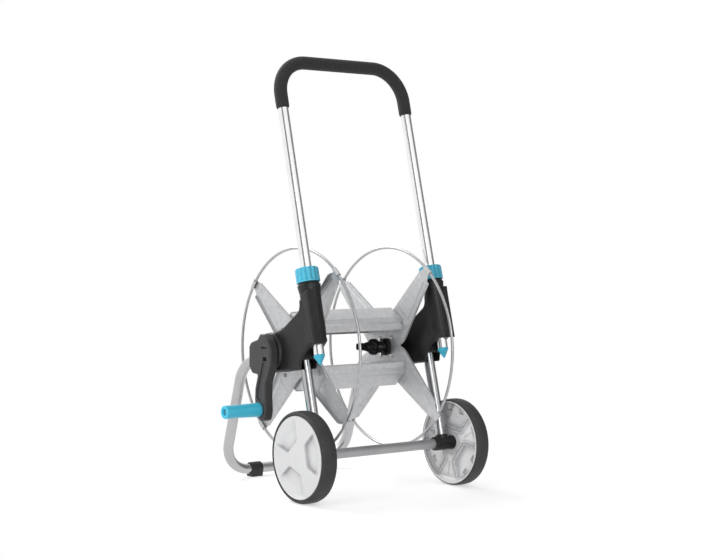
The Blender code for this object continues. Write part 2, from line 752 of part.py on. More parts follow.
def disc_plate(name, side):
    """A stamped cross of four arms with sunk panels, stiffening flanges and hooked tips."""
    corners = []
    for i in range(4):
        notch = math.radians(90 * i)
        corners.append((ARM_NOTCH * math.cos(notch), ARM_NOTCH * math.sin(notch)))
        arm = notch + math.radians(45)
        for away in (-1, 1):
            half = away * arm_half(plate_tip)
            corners.append(
                (
                    plate_tip * math.cos(arm) - half * math.sin(arm),
                    plate_tip * math.sin(arm) + half * math.cos(arm),
                )
            )
    shape = bmesh.new()
    shape.faces.new([shape.verts.new((0, y, z)) for y, z in corners])
    arms = [math.radians(90 * i + 45) for i in range(4)]
    alongs = [Vector((0, math.cos(arm), math.sin(arm))) for arm in arms]
    for along in alongs:
        across = Vector((0, -along.z, along.y))
        for r in (FOLD_R, plate_tip - TIP_FLAT):
            everything = shape.verts[:] + shape.edges[:] + shape.faces[:]
            bmesh.ops.bisect_plane(shape, geom=everything, plane_co=along * r, plane_no=along)
        for v in shape.verts:
            r = v.co.dot(along)
            if abs(r - plate_tip) < 1e-5 and r > 0:
                v.co -= across * math.copysign(arm_half(plate_tip) - HOOK_HALF, v.co.dot(across))
    shape.faces.ensure_lookup_table()
    middles = {f: f.calc_center_median().length for f in shape.faces}
    panels = [f for f in shape.faces if FOLD_R + PANEL_START < middles[f] < plate_tip - TIP_FLAT]
    bmesh.ops.inset_individual(shape, faces=panels, thickness=PANEL_INSET, depth=0)
    for v in shape.verts:
        v.co.x = plate_x(max(v.co.dot(along) for along in alongs))
    for f in panels:
        for v in f.verts:
            v.co.x -= PANEL_DEPTH
    flanges = []
    tips = []
    for e in shape.edges:
        if not e.is_boundary:
            continue
        low, high = sorted(Vector((0, v.co.y, v.co.z)).length for v in e.verts)
        if low > FOLD_R - SHEET and high - low > (plate_tip - FOLD_R) / 2:
            flanges.append(e)
        elif low > plate_tip - SHEET:
            tips.append(e)
    grown = bmesh.ops.extrude_edge_only(shape, edges=flanges)["geom"]
    raised = [g for g in grown if isinstance(g, bmesh.types.BMVert)]
    bmesh.ops.translate(shape, vec=(ARM_FLANGE, 0, 0), verts=raised)
    for step in range(5):
        angle = math.radians(50) * step
        grown = bmesh.ops.extrude_edge_only(shape, edges=tips)["geom"]
        tips = [g for g in grown if isinstance(g, bmesh.types.BMEdge)]
        for v in {v for e in tips for v in e.verts}:
            along = max(alongs, key=v.co.dot)
            reach = RING_R + hook_r * math.sin(angle)
            v.co += along * (reach - v.co.dot(along))
            v.co.x = ring_x - hook_r * math.cos(angle)
    for v in shape.verts:
        v.co.x *= side
    bmesh.ops.recalc_face_normals(shape, faces=shape.faces)
    mesh = bpy.data.meshes.new(name)
    shape.to_mesh(mesh)
    shape.free()
    made = add(name, mesh, parent=reel, look=ZINC)
    sheet = made.modifiers.new("Sheet", "SOLIDIFY")
    sheet.thickness = SHEET
    sheet.offset = 0
    return made


beam_end = PLATE_X - SHEET / 2 - FIT
tab_low = BEAM_LIP[1] + TAB_MARGIN
tab_high = BEAM_SHOULDER[1] - TAB_MARGIN
tab_y = (BEAM_LIP[0] + BEAM_SHOULDER[0]) / 2
for name, side in sides:
    plate = disc_plate("disc_plate_" + name, side)
    centre_hole = rod_mesh("centre_hole", CENTRE_HOLE_R, -0.3, 0.3, 16)
    cut(plate, add("centre_hole_" + name, centre_hole, (0, 0, 0), (0, math.pi / 2, 0), reel))
    for y in (-tab_y, tab_y):
        for z in (-1, 1):
            slot_size = (0.02, SHEET * 3, tab_high - tab_low + 3 * FIT)
            centre = (side * PLATE_X, y, z * (tab_low + tab_high) / 2)
            slot = box_mesh("slot", slot_size, centre)
            cut(plate, add(f"slot_{name}_{y > 0}_{z > 0}", slot, parent=reel))
    settle(plate)
    ring = bmesh.new()
    bmesh.ops.create_circle(ring, segments=5, radius=WIRE_R)
    bmesh.ops.rotate(ring, verts=ring.verts, matrix=Matrix.Rotation(math.pi / 2, 3, "X"))
    bmesh.ops.translate(ring, vec=(RING_R, 0, 0), verts=ring.verts)
    bmesh.ops.spin(
        ring,
        geom=ring.verts[:] + ring.edges[:],
        cent=(0, 0, 0),
        axis=(0, 0, 1),
        angle=2 * math.pi,
        steps=40,
        use_merge=True,
    )
    bmesh.ops.remove_doubles(ring, verts=ring.verts, dist=0.00001)
    bmesh.ops.recalc_face_normals(ring, faces=ring.faces)
    wire = bpy.data.meshes.new("ring_wire")
    ring.to_mesh(wire)
    ring.free()
    add("ring_wire_" + name, wire, (side * ring_x, 0, 0), (0, math.pi / 2, 0), reel, ZINC)

for name, up in (("upper", 1), ("lower", -1)):
    profile = [
        (LIP[0] - BEAM_LIP[0], BEAM_LIP[1] - LIP[1]),
        (-BEAM_LIP[0], BEAM_LIP[1]),
        (-BEAM_SHOULDER[0], BEAM_SHOULDER[1]),
        (-BEAM_TOP_HALF, BEAM_TOP),
        (BEAM_TOP_HALF, BEAM_TOP),
        (BEAM_SHOULDER[0], BEAM_SHOULDER[1]),
        (BEAM_LIP[0], BEAM_LIP[1]),
        (BEAM_LIP[0] - LIP[0], BEAM_LIP[1] - LIP[1]),
    ]
    shape = bmesh.new()
    points = [shape.verts.new((-beam_end, y, z * up)) for y, z in profile]
    edges = [shape.edges.new(pair) for pair in zip(points, points[1:])]
    grown = bmesh.ops.extrude_edge_only(shape, edges=edges)["geom"]
    far = [g for g in grown if isinstance(g, bmesh.types.BMVert)]
    bmesh.ops.translate(shape, vec=(2 * beam_end, 0, 0), verts=far)
    bmesh.ops.recalc_face_normals(shape, faces=shape.faces)
    mesh = bpy.data.meshes.new("drum_beam")
    shape.to_mesh(mesh)
    shape.free()
    beam = add("drum_beam_" + name, mesh, parent=reel, look=ZINC)
    sheet = beam.modifiers.new("Sheet", "SOLIDIFY")
    sheet.thickness = SHEET
    sheet.offset = 0
    for y in (-tab_y, tab_y):
        reach = beam_end + FIT + SHEET + TAB_REACH
        tab_size = (2 * reach, SHEET, tab_high - tab_low)
        tab = box_mesh("tab", tab_size, (0, y, up * (tab_low + tab_high) / 2))
        join(beam, add(f"tab_{name}_{y > 0}", tab, parent=reel))
    settle(beam)

# Hubs: a flange on each plate, a sleeve and the journal that turns in the housing
hub_face = PLATE_X + SHEET / 2 + FIT
journal_in = SIDE_X - BOSS_IN - FIT
journal_out = SIDE_X + BOSS_OUT - 0.0005
for name, side in sides:
    hub_mesh = turned_mesh(
        "reel_hub",
        [
            (0, journal_out),
            (JOURNAL_R, journal_out),
            (JOURNAL_R, journal_in),
            (SLEEVE_R, journal_in),
            (SLEEVE_R, hub_face + 0.006),
            (SLEEVE_R + 0.003, hub_face + 0.003),
            (HUB_FLANGE_R - 0.001, hub_face + 0.0025),
            (HUB_FLANGE_R, hub_face),
            (CENTRE_HOLE_R - 0.0005, hub_face),
            (CENTRE_HOLE_R - 0.0005, PLATE_X - SHEET / 2),
            (0, PLATE_X - SHEET / 2),
        ],
        16,
    )
    hub = add("reel_hub_" + name, hub_mesh, (0, 0, 0), (0, side * math.pi / 2, 0), reel, BLACK)
    if side < 0:
        key = box_mesh("key", (0.016, KEY, KEY), (-journal_out - 0.004, 0, 0))
        join(hub, add("crank_key", key, parent=reel))
    else:
        water = rod_mesh("water", WATER_R, PLATE_X - 0.02, journal_out + 0.02, 12)
        cut(hub, add("hub_water", water, (0, 0, 0), (0, math.pi / 2, 0), reel))
    settle(hub)

# Crank: a flat moulding on the left hub, and a knob that turns on its pin
crank_in = SIDE_X + BOSS_OUT + FIT
crank_out = crank_in + CRANK_THICK
swing = empty("crank_axis", (0, REEL_Y, REEL_Z), (0, 0, 0), cart)
crank_corners = [
    (-0.0295, -0.0405),
    (-0.0385, -0.022),
    (-0.0385, 0.008),
    (-0.0300, 0.028),
    (-0.0165, 0.0385),
    (0.0000, 0.0385),
    (0.0080, 0.0275),
    (0.0330, 0.0200),
    (0.0395, 0.0120),
    (0.0395, -0.0280),
    (0.0290, -0.0415),
    (0.0080, -0.0430),
    (0.0175, -0.0710),
    (0.0190, -0.0950),
    (0.0120, -0.1240),
    (-0.0010, -0.1365),
    (-0.0150, -0.1340),
    (-0.0205, -0.1160),
    (-0.0185, -0.0850),
    (-0.0195, -0.0600),
]
crank_radii = [
    0.010,
    0.018,
    0.018,
    0.016,
    0.008,
    0.004,
    0.006,
    0.008,
    0.010,
    0.010,
    0.010,
    0.003,
    0.020,
    0.030,
    0.012,
    0.010,
    0.010,
    0.030,
    0.040,
    0.020,
]
crank = slab_mesh("crank", outline(crank_corners, crank_radii, 2), CRANK_THICK, 0.0015, 0)
crank_at = (-(crank_in + CRANK_THICK / 2), 0, 0)
crank = add("crank", crank, crank_at, parent=swing, look=BLACK)
channel_corners = [
    (-0.0250, -0.0170),
    (-0.0100, -0.0170),
    (0.0010, -0.0480),
    (0.0105, -0.0740),
    (0.0120, -0.0900),
    (0.0000, -0.0960),
    (-0.0110, -0.0900),
    (-0.0110, -0.0620),
    (-0.0230, -0.0360),
]
channel = slab_mesh("channel", outline(channel_corners, [0.003] * 9, 1), 0.010)
slot = box_mesh("crank_slot", (0.006, 0.020, 0.0022), (-crank_out, -0.019, 0.0130))
key_hole = box_mesh("key_hole", (0.026, KEY + 0.0006, KEY + 0.0006), (-crank_in, 0, 0))
pin_hole = rod_mesh("pin_hole", 0.0033, -0.03, 0.03, 16)
cut(
    crank,
    add("channel", channel, (-crank_out, 0, 0), parent=swing),
    add("crank_slot", slot, parent=swing),
    add("key_hole", key_hole, (0, 0, 0), (REEL_REST, 0, 0), swing),
    add("pin_hole", pin_hole, (crank_at[0], 0, -CRANK_REACH), (0, math.pi / 2, 0), swing),
)
settle(crank)
knob_in = crank_out + FIT
knob_out = knob_in + KNOB_LENGTH
pin_mesh = turned_mesh(
    "knob_pin",
    [
        (0, knob_out - 0.006),
        (PIN_R + 0.0012, knob_out - 0.0065),
        (PIN_R + 0.0015, knob_out - 0.009),
        (PIN_R, knob_out - 0.009),
        (PIN_R, crank_out + 0.0002),
        (0.0029, crank_out + 0.0002),
        (0.0029, crank_in + 0.001),
        (0, crank_in + 0.001),
    ],
    16,
)
knob_mesh = turned_mesh(
    "crank_knob",
    [
        (PIN_R + 0.0021, knob_out),
        (KNOB_R - 0.0012, knob_out),
        (KNOB_R, knob_out - 0.003),
        (KNOB_R - 0.0004, knob_out - 0.030),
        (KNOB_R + 0.0010, knob_in + 0.003),
        (KNOB_R - 0.0010, knob_in),
        (PIN_R + 0.0003, knob_in),
        (PIN_R + 0.0003, knob_out - 0.0095),
        (PIN_R + 0.0021, knob_out - 0.0095),
    ],
    20,
    closed=True,
)
towards_crank = (0, -math.pi / 2, 0)
add("knob_pin", pin_mesh, (0, 0, -CRANK_REACH), towards_crank, swing, BLACK)
add("crank_knob", knob_mesh, (0, 0, -CRANK_REACH), towards_crank, swing, BLUE)

# Hose fitting: an elbow on the right plate's inner face, a nut and a push-on tail
seat_x = PLATE_X - SHEET / 2 - FIT
fitting = empty("fitting", (seat_x, 0, 0), (-REEL_REST, 0, 0), reel)
elbow_base = turned_mesh(
    "elbow_base",
    [(0, 0), (FITTING_R, 0), (FITTING_R, -0.0045), (FITTING_R - 0.0015, -0.006), (0, -0.006)],
)
elbow = add("hose_elbow", elbow_base, (0, 0, 0), (0, math.pi / 2, 0), fitting, BLACK)
bend_at = Vector((-0.014, 0, 0))
outlet = Vector((-math.cos(ELBOW), math.sin(ELBOW), 0))
elbow_path = rounded([(-0.002, 0, 0), bend_at, bend_at + outlet * OUTLET], [0.012], 3)
elbow_pipe = tube_mesh("elbow_pipe", elbow_path, 0.0115, True)
join(elbow, add("elbow_pipe", elbow_pipe, parent=fitting))
water_path = rounded([(0.004, 0, 0), bend_at, bend_at + outlet * 0.030], [0.012], 3)
water_way = tube_mesh("water_way", water_path, WATER_R, True, 10)
cut(elbow, add("water_way", water_way, parent=fitting))
settle(elbow)
nut_start = bend_at + outlet * (OUTLET + FIT)
outward = (0, -math.pi / 2, 0)
nose = empty("hose_nose", nut_start, (0, 0, -ELBOW), fitting)
nut_mesh = turned_mesh(
    "hose_nut",
    [
        (0.0090, NUT_LENGTH),
        (NUT_R - 0.0030, NUT_LENGTH),
        (NUT_R, NUT_LENGTH - 0.0035),
        (NUT_R, 0.0030),
        (NUT_R - 0.0025, 0),
        (0.0060, 0),
        (0.0060, NUT_LENGTH - 0.004),
        (0.0090, NUT_LENGTH - 0.004),
    ],
    12,
    closed=True,
)
add("hose_nut", nut_mesh, (0, 0, 0), outward, nose, BLACK)
tail_low = NUT_LENGTH - 0.004 + FIT
tail_mesh = turned_mesh(
    "hose_tail",
    [
        (WATER_R, NUT_LENGTH + 0.0265),
        (0.0062, NUT_LENGTH + 0.0265),
        (0.0072, NUT_LENGTH + 0.0245),
        (0.0072, NUT_LENGTH + 0.0200),
        (0.0062, NUT_LENGTH + 0.0195),
        (0.0062, NUT_LENGTH + 0.0170),
        (0.0080, NUT_LENGTH + 0.0165),
        (0.0080, NUT_LENGTH + 0.0105),
        (0.0110, NUT_LENGTH + 0.0020),
        (0.0110, NUT_LENGTH + FIT),
        (0.0083, NUT_LENGTH + FIT),
        (0.0083, tail_low),
        (WATER_R, tail_low),
    ],
    10,
    closed=True,
)
add("hose_tail", tail_mesh, (0, 0, 0), outward, nose, BLACK)

# Water inlet: a push-on spigot on the right boss
inlet_mesh = turned_mesh(
    "water_inlet",
    [
        (WATER_R, 0.0185),
        (0.0062, 0.0185),
        (0.0072, 0.0170),
        (0.0072, 0.0135),
        (0.0062, 0.0130),
        (0.0062, 0.0110),
        (0.0085, 0.0105),
        (0.0085, 0.0060),
        (0.0165, 0.0050),
        (0.0165, 0.0000),
        (WATER_R, 0.0000),
    ],
    10,
    closed=True,
)
inlet_at = (SIDE_X + BOSS_OUT + FIT, REEL_Y, REEL_Z)
add("water_inlet", inlet_mesh, inlet_at, (0, math.pi / 2, 0), look=BLACK)
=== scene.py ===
"""The hose reel cart's looks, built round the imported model.

Metres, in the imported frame. Most shapes are laid out in the cart's own layout frame, whose origin is on the
floor below the middle of the axle, and moved into place by SHIFT.
"""

from math import copysign, cos, exp, pi, radians, sin, sqrt, tan

import bmesh
import bpy
import numpy as np
from mathutils import Matrix, Vector


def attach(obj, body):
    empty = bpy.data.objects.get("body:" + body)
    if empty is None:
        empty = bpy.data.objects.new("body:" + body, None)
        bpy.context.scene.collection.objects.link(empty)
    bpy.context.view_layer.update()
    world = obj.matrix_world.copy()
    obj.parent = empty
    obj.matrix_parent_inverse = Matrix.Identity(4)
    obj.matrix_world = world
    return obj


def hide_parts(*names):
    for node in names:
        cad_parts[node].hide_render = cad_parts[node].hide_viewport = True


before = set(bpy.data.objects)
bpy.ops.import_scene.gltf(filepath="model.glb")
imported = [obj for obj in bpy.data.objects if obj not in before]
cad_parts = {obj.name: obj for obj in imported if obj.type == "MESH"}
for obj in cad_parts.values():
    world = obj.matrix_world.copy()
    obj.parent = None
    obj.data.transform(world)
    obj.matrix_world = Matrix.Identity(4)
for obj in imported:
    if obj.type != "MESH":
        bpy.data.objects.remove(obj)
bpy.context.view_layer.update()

# Layout, as in the CAD model
SHIFT = Matrix.Translation((0.0419, -0.13655, 0))
SIDE_X = 0.157
LEAN = radians(14.3)
HANDLE_FRONT = 0.0517
TUBE_R = 0.011
TUBE_WALL = 0.0015
AXLE_Z = 0.09
FIT = 0.0003
REEL_Y = 0.1295
REEL_Z = 0.2846
REEL_REST = radians(-6)
RING_R = 0.21
WIRE_R = 0.003
PLATE_X = 0.11
SHEET = 0.0012
RING_X = PLATE_X + 0.006
BOSS_R = 0.04
BOSS_OUT = 0.0325
BOSS_IN = 0.0205
COLLAR_LOW = 0.427
COLLAR_LENGTH = 0.029
COLLAR_R = 0.0235
SPIGOT_RISE = 0.012
SPIGOT_R = 0.0175
BEARING_R = 0.0126
WHEEL_X = 0.1923
WHEEL_WIDTH = 0.034
WHEEL_R = 0.09
DISC_R = 0.082
CRANK_REACH = 0.1126
HANDLE_LOW = 0.287
HANDLE_TOP = 0.8718
GRIP_LOW = 0.7745
GRIP_R = 0.0135
LEG_HIGH = 0.318
RAIL_Y = 0.349
RAIL_Z = 0.017
KNEE_Z = 0.251
KNEE_Y = RAIL_Y - 0.32 * (KNEE_Z - RAIL_Z)
BORE_R = TUBE_R + 0.00035
WATER_R = 0.0045
AXLE_HOLE_R = 0.0043
PLATE_BORE = 0.0091
TAB_LOW = 0.043
TAB_HIGH = 0.051
TAB_Y = 0.06
SIDES = (("left", -1), ("right", 1))
LEAN_DIR = Vector((0, sin(LEAN), cos(LEAN)))
QUARTER = pi / 2


def on_handle(z):
    """Y of the handle tube's axis at a height."""
    return (z - AXLE_Z) * tan(LEAN) - HANDLE_FRONT


def at(x, y, z):
    return Matrix.Translation((x, y, z))


def spun(angle, axis):
    return Matrix.Rotation(angle, 4, axis)


TILT = spun(-LEAN, "X")
ACROSS = spun(QUARTER, "Y")


def circle(sides):
    """The angles of a ring's points."""
    return [2 * pi * j / sides for j in range(sides)]


def add_object(name, data):
    made = bpy.data.objects.new(name, data)
    bpy.context.scene.collection.objects.link(made)
    return made


# Materials
def add_node(tree, kind, inputs=(), **settings):
    """One shader node, with its inputs set to values or linked to other nodes' outputs."""
    made = tree.nodes.new("ShaderNode" + kind)
    for key, value in settings.items():
        setattr(made, key, value)
    for socket, value in dict(inputs).items():
        if isinstance(value, bpy.types.NodeSocket):
            tree.links.new(value, made.inputs[socket])
        else:
            made.inputs[socket].default_value = value
    return made


class Paint:
    """One Principled material, with nodes that vary its colour, roughness and surface by place."""

    def __init__(self, name, colour, rough, metal=0.0):
        self.material = bpy.data.materials.new(name)
        self.material.use_nodes = True
        self.tree = self.material.node_tree
        self.shader = self.tree.nodes["Principled BSDF"]
        self.colour = colour
        self.rough = rough
        self.set("Base Color", (*colour, 1)).set("Roughness", rough).set("Metallic", metal)
        self.place = self.node("TexCoord").outputs["Object"]
        self.normal = None

    def node(self, kind, inputs=(), **settings):
        return add_node(self.tree, kind, inputs, **settings)

    def set(self, socket, value):
        self.shader.inputs[socket].default_value = value
        return self

    def join(self, output, socket):
        self.tree.links.new(output, self.shader.inputs[socket])

    def noise(self, scale, detail=3.0, stretch=None, rough=0.5):
        place = self.place
        if stretch:
            place = self.node("Mapping", {"Vector": place, "Scale": stretch}).outputs["Vector"]
        inputs = {"Vector": place, "Scale": scale, "Detail": detail, "Roughness": rough}
        return self.node("TexNoise", inputs).outputs["Fac"]

    def cells(self, scale, output="Distance"):
        return self.node("TexVoronoi", {"Vector": self.place, "Scale": scale}).outputs[output]

    def spread(self, value, low, high, from_low=0.3, from_high=0.7):
        """The value, from its usual range to another one."""
        inputs = {0: value, 1: from_low, 2: from_high, 3: low, 4: high}
        return self.node("MapRange", inputs).outputs[0]

    def corners(self, reach, samples=6):
        """Low in tight corners; used to paint shade there."""
        return self.node("AmbientOcclusion", {"Distance": reach}, samples=samples).outputs["AO"]

    def blend(self, factor, first, second):
        """One colour where the factor is 0 and the other one where it is 1."""
        ends = [c if isinstance(c, bpy.types.NodeSocket) else (*c, 1) for c in (first, second)]
        inputs = {"Factor": factor, "A": ends[0], "B": ends[1]}
        return self.node("Mix", inputs, data_type="RGBA").outputs["Result"]

    def tint(self, value, other, low=0.35, high=0.65, base=None):
        """Runs the colour towards another one where the value is high."""
        first = self.colour if base is None else base
        mixed = self.blend(self.spread(value, 0, 1, low, high), first, other)
        self.join(mixed, "Base Color")
        return mixed

    def painted_crease_shade(self, other, reach, low, high, base):
        """Paints shade: runs the colour towards another one in tight corners."""
        shade = self.spread(self.corners(reach), 1, 0, low, high)
        self.join(self.blend(shade, base, other), "Base Color")

    def roughen(self, value, amount):
        self.join(self.spread(value, self.rough - amount, self.rough + amount), "Roughness")

    def bump(self, value, distance, strength):
        inputs = {"Height": value, "Distance": distance, "Strength": strength}
        if self.normal is not None:
            inputs["Normal"] = self.normal
        self.normal = self.node("Bump", inputs).outputs["Normal"]
        self.join(self.normal, "Normal")


def drawn_tube(name, along, colour=(0.93, 0.93, 0.94), rough=0.17):
    """Polished aluminium with the faint lines that drawing a tube leaves along it."""
    p = Paint(name, colour, rough, 1.0)
    p.roughen(p.noise(60, 4, rough=0.6), 0.05)
    p.tint(p.noise(25, 4), tuple(c * 0.93 for c in colour))
    p.bump(p.noise(900, 2, along), 0.00003, 0.35)
    return p.material


def moulded(name, colour, rough, worn, grain=1600, relief=0.00004, level=0.5):
    """Moulded plastic: a fine grained surface, a little paler where hands and ground rub it."""
    p = Paint(name, colour, rough)
    p.tint(p.noise(34, 5, rough=0.65), worn, 0.45, 0.85)
    p.roughen(p.noise(110, 4), 0.06)
    p.bump(p.noise(grain, 3), relief, 0.5)
    p.set("Specular IOR Level", level)
    return p.material


def galvanised(name, colour, rough, metal=1.0, dull=None, reach=0.03):
    """Zinc coated steel: faint crystals of different dullness, and painted shade that greys its corners."""
    p = Paint(name, colour, rough, metal)
    grains = p.cells(150, "Color")
    grey = p.node("RGBToBW", {"Color": grains}).outputs[0]
    base = p.tint(grey, tuple(c * 0.9 for c in colour), 0.1, 0.9)
    base = p.tint(p.noise(18, 4), tuple(c * 0.92 for c in colour), 0.5, 0.8, base)
    # The dull colour is painted shade, run into tight corners
    if dull:
        p.painted_crease_shade(dull, reach, 0.2, 0.7, base)
    p.roughen(grey, 0.05)
    p.bump(p.noise(260, 4), 0.00004, 0.25)
    return p.material


def fluted_blue():
    """The collars' blue, with painted shade deeper down in the flutes."""
    p = Paint("blue_fluted", (0.085, 0.5, 0.68), 0.34)
    base = p.tint(p.noise(40, 4), (0.1, 0.53, 0.71), 0.45, 0.8)
    # Painted shade in the flutes
    p.painted_crease_shade((0.02, 0.27, 0.42), 0.005, 0.55, 0.97, base)
    p.roughen(p.noise(110, 3), 0.05)
    p.bump(p.noise(1600, 3), 0.00004, 0.5)
    return p.material


def pale_moulding():
    """Pale wheel plastic: faintly mottled, a little see-through, with painted shade in its corners."""
    p = Paint("pale_moulding", (0.69, 0.69, 0.695), 0.48)
    base = p.tint(p.noise(34, 5, rough=0.65), (0.65, 0.65, 0.655), 0.45, 0.85)
    # Painted shade in the sunk pads; the lowest part, next to the floor, is painted paler, as painted light,
    # and gets less painted shade
    above = p.spread(p.node("SeparateXYZ", {0: p.place}).outputs["Z"], 0, 1, 0.015, 0.019)
    low_shade = p.spread(p.corners(0.005, 12), 0.7, 0, 0.35, 0.85)
    pad_shade = p.spread(p.corners(0.02, 16), 1, 0, 0.72, 0.98)
    ends = {"Factor": above, "A": low_shade, "B": pad_shade}
    shade = p.node("Mix", ends, data_type="FLOAT").outputs["Result"]
    face = p.blend(above, (0.76, 0.76, 0.765), base)
    p.join(p.blend(shade, face, (0.38, 0.38, 0.39)), "Base Color")
    p.roughen(p.noise(110, 4), 0.06)
    p.bump(p.noise(700, 3), 0.00003, 0.5)
    p.set("Subsurface Weight", 0.04).set("Subsurface Scale", 0.002)
    return p.material


aluminium = drawn_tube("aluminium_drawn", (1, 1, 0.03))
# Darker copies of the same polished aluminium for the legs, the axle tube and the rear frame: painted shade
# in their colour
aluminium_leg_painted_darker = drawn_tube("aluminium_drawn_leg_painted_darker", (1, 1, 0.03), (0.5, 0.505, 0.515), 0.17)
aluminium_across_painted_darker = drawn_tube("aluminium_drawn_across_painted_darker", (0.03, 1, 1), (0.4, 0.4, 0.41), 0.42)
aluminium_bent_painted_darker = drawn_tube("aluminium_bent_painted_darker", (1, 1, 0.03), (0.54, 0.54, 0.55), 0.28)
# The last colours of the two sheets are painted shade for their tight corners
zinc = galvanised("zinc_sheet", (0.62, 0.625, 0.635), 0.42, 0.6, (0.26, 0.26, 0.265))
zinc_folded = galvanised("zinc_folded_sheet", (0.66, 0.665, 0.675), 0.4, 0.6, (0.46, 0.46, 0.465), 0.012)
zinc_wire = galvanised("zinc_wire", (0.52, 0.525, 0.535), 0.34)
steel = drawn_tube("steel_rod_finish", (0.03, 1, 1), (0.6, 0.6, 0.61), 0.28)
screw_steel = galvanised("screw_plating", (0.93, 0.93, 0.94), 0.2, 1.0)
black = moulded("black_moulding", (0.011, 0.011, 0.012), 0.38, (0.019, 0.019, 0.021), level=0.38)
# The crank's black is painted lighter than the housings' black, as painted light on its shaded channel and
# sides
black_crank_painted_lighter = moulded("black_crank_moulding", (0.046, 0.046, 0.048), 0.44, (0.06, 0.06, 0.063), level=0.3)
black_gloss = moulded("black_smooth", (0.01, 0.01, 0.011), 0.28, (0.018, 0.018, 0.02), 900, 0.00002, 0.3)
blue = moulded("blue_moulding", (0.053, 0.46, 0.645), 0.36, (0.073, 0.52, 0.7), level=0.45)
# The knob's blue is painted lighter than the other blue parts, as painted light on its shaded front
blue_knob_painted_lighter = moulded("blue_knob_moulding", (0.062, 0.54, 0.75), 0.36, (0.082, 0.59, 0.79), level=0.45)
blue_collar = fluted_blue()
pale = pale_moulding()
grey_plastic = moulded("grey_moulding", (0.3, 0.3, 0.31), 0.45, (0.36, 0.36, 0.37))


def rubber(name, colour, worn, speckle):
    """Dull rubber, speckled with dust, with a fine and a coarse grain."""
    p = Paint(name, colour, 0.6)
    p.tint(p.noise(speckle, 4, rough=0.7), worn, 0.45, 0.75)
    p.roughen(p.noise(45, 3), 0.08)
    p.bump(p.noise(1400, 4), 0.00006, 0.5)
    p.bump(p.noise(220, 3), 0.00008, 0.25)
    return p.material


tyre_rubber = rubber("tyre_rubber_finish", (0.03, 0.03, 0.031), (0.038, 0.038, 0.039), 160)
foot_rubber = rubber("foot_rubber_finish", (0.022, 0.022, 0.024), (0.034, 0.034, 0.036), 90)


def foam_material():
    """Closed cell foam: a fine pitted skin that stays dull."""
    p = Paint("foam_finish", (0.018, 0.018, 0.019), 0.8)
    p.tint(p.noise(300, 4, rough=0.7), (0.028, 0.028, 0.03), 0.4, 0.7)
    p.bump(p.cells(1500), 0.00012, 0.5)
    p.bump(p.noise(420, 3), 0.0001, 0.35)
    p.set("Sheen Weight", 0.12).set("Sheen Roughness", 0.6).set("Specular IOR Level", 0.35)
    return p.material


foam = foam_material()


# Mesh building
def mesh_from(verts, faces):
    mesh = bpy.data.meshes.new("mesh")
    mesh.from_pydata([tuple(v) for v in verts], [], faces)
    shape = bmesh.new()
    shape.from_mesh(mesh)
    bmesh.ops.remove_doubles(shape, verts=shape.verts, dist=0.0000004)
    bmesh.ops.recalc_face_normals(shape, faces=shape.faces)
    shape.to_mesh(mesh)
    shape.free()
    return mesh


def loft(rings, loop=False, caps=True):
    """A skin over rings of the same count; loop joins the last one to the first."""
    count = len(rings[0])
    verts = [p for ring in rings for p in ring]
    faces = []
    for i in range(len(rings) - (0 if loop else 1)):
        low = i * count
        high = (i + 1) % len(rings) * count
        for j in range(count):
            k = (j + 1) % count
            faces.append((low + j, low + k, high + k, high + j))
    if caps and not loop:
        faces.append(tuple(range(count)))
        faces.append(tuple(range((len(rings) - 1) * count, len(rings) * count)))
    return mesh_from(verts, faces)


def corner_path(corners, radii, steps=8, closed=False):
    """The corner points joined by straight runs, with an arc at each corner that has a radius."""
    corners = [Vector(c) for c in corners]
    count = len(corners)
    path = []
    for i, corner in enumerate(corners):
        ends = not closed and i in (0, count - 1)
        radius = 0 if ends else (radii if isinstance(radii, (int, float)) else radii[i])
        if radius <= 0:
            path.append(corner)
            continue
        back = corners[i - 1] - corner
        ahead = corners[(i + 1) % count] - corner
        half = back.angle(ahead) / 2
        if half > pi / 2 - 0.01:
            path.append(corner)
            continue
        room_back = back.length * (0.98 if not closed and i == 1 else 0.49)
        room_ahead = ahead.length * (0.98 if not closed and i == count - 2 else 0.49)
        longest = min(room_back, room_ahead) * tan(half)
        radius = min(radius, longest)
        back.normalize()
        ahead.normalize()
        centre = corner + (back + ahead).normalized() * radius / sin(half)
        start = (corner + back * radius / tan(half) - centre).normalized()
        end = (corner + ahead * radius / tan(half) - centre).normalized()
        for step in range(steps + 1):
            path.append(centre + start.slerp(end, step / steps) * radius)
    return path


def lathe(profile, sides=64, closed=False, radius=0.0, steps=4):
    """A profile of (radius, height) turned round Z, its corners rounded where a radius is given."""
    flat = [Vector((r, h, 0)) for r, h in profile]
    if radius:
        flat = corner_path(flat, radius, steps, closed)
    rings = [[(p.x * cos(a), p.x * sin(a), p.y) for a in circle(sides)] for p in flat]
    return loft(rings, loop=closed, caps=not closed)


def fluted(profile, sides, dent):
    """A closed profile of (radius, height, share) turned round Z, with that share of the dent cut in."""
    rings = []
    for r, h, share in profile:
        reach = [(r - share * dent(a), a) for a in circle(sides)]
        rings.append([(q * cos(a), q * sin(a), h) for q, a in reach])
    return loft(rings, loop=True)


def sweep_rings(path, radius, sides):
    """Rings square to a path, turned as little as possible from one to the next."""
    rings = []
    path = [Vector(p) for p in path]
    normal = None
    for i, p in enumerate(path):
        ahead = path[min(i + 1, len(path) - 1)] - path[max(i - 1, 0)]
        ahead.normalize()
        if normal is None:
            guess = Vector((1, 0, 0)) if abs(ahead.x) < 0.8 else Vector((0, 1, 0))
            normal = guess - ahead * guess.dot(ahead)
        else:
            normal = normal - ahead * normal.dot(ahead)
        normal.normalize()
        side = ahead.cross(normal)
        r = radius(i) if callable(radius) else radius
        rings.append([p + (normal * cos(a) + side * sin(a)) * r for a in circle(sides)])
    return rings


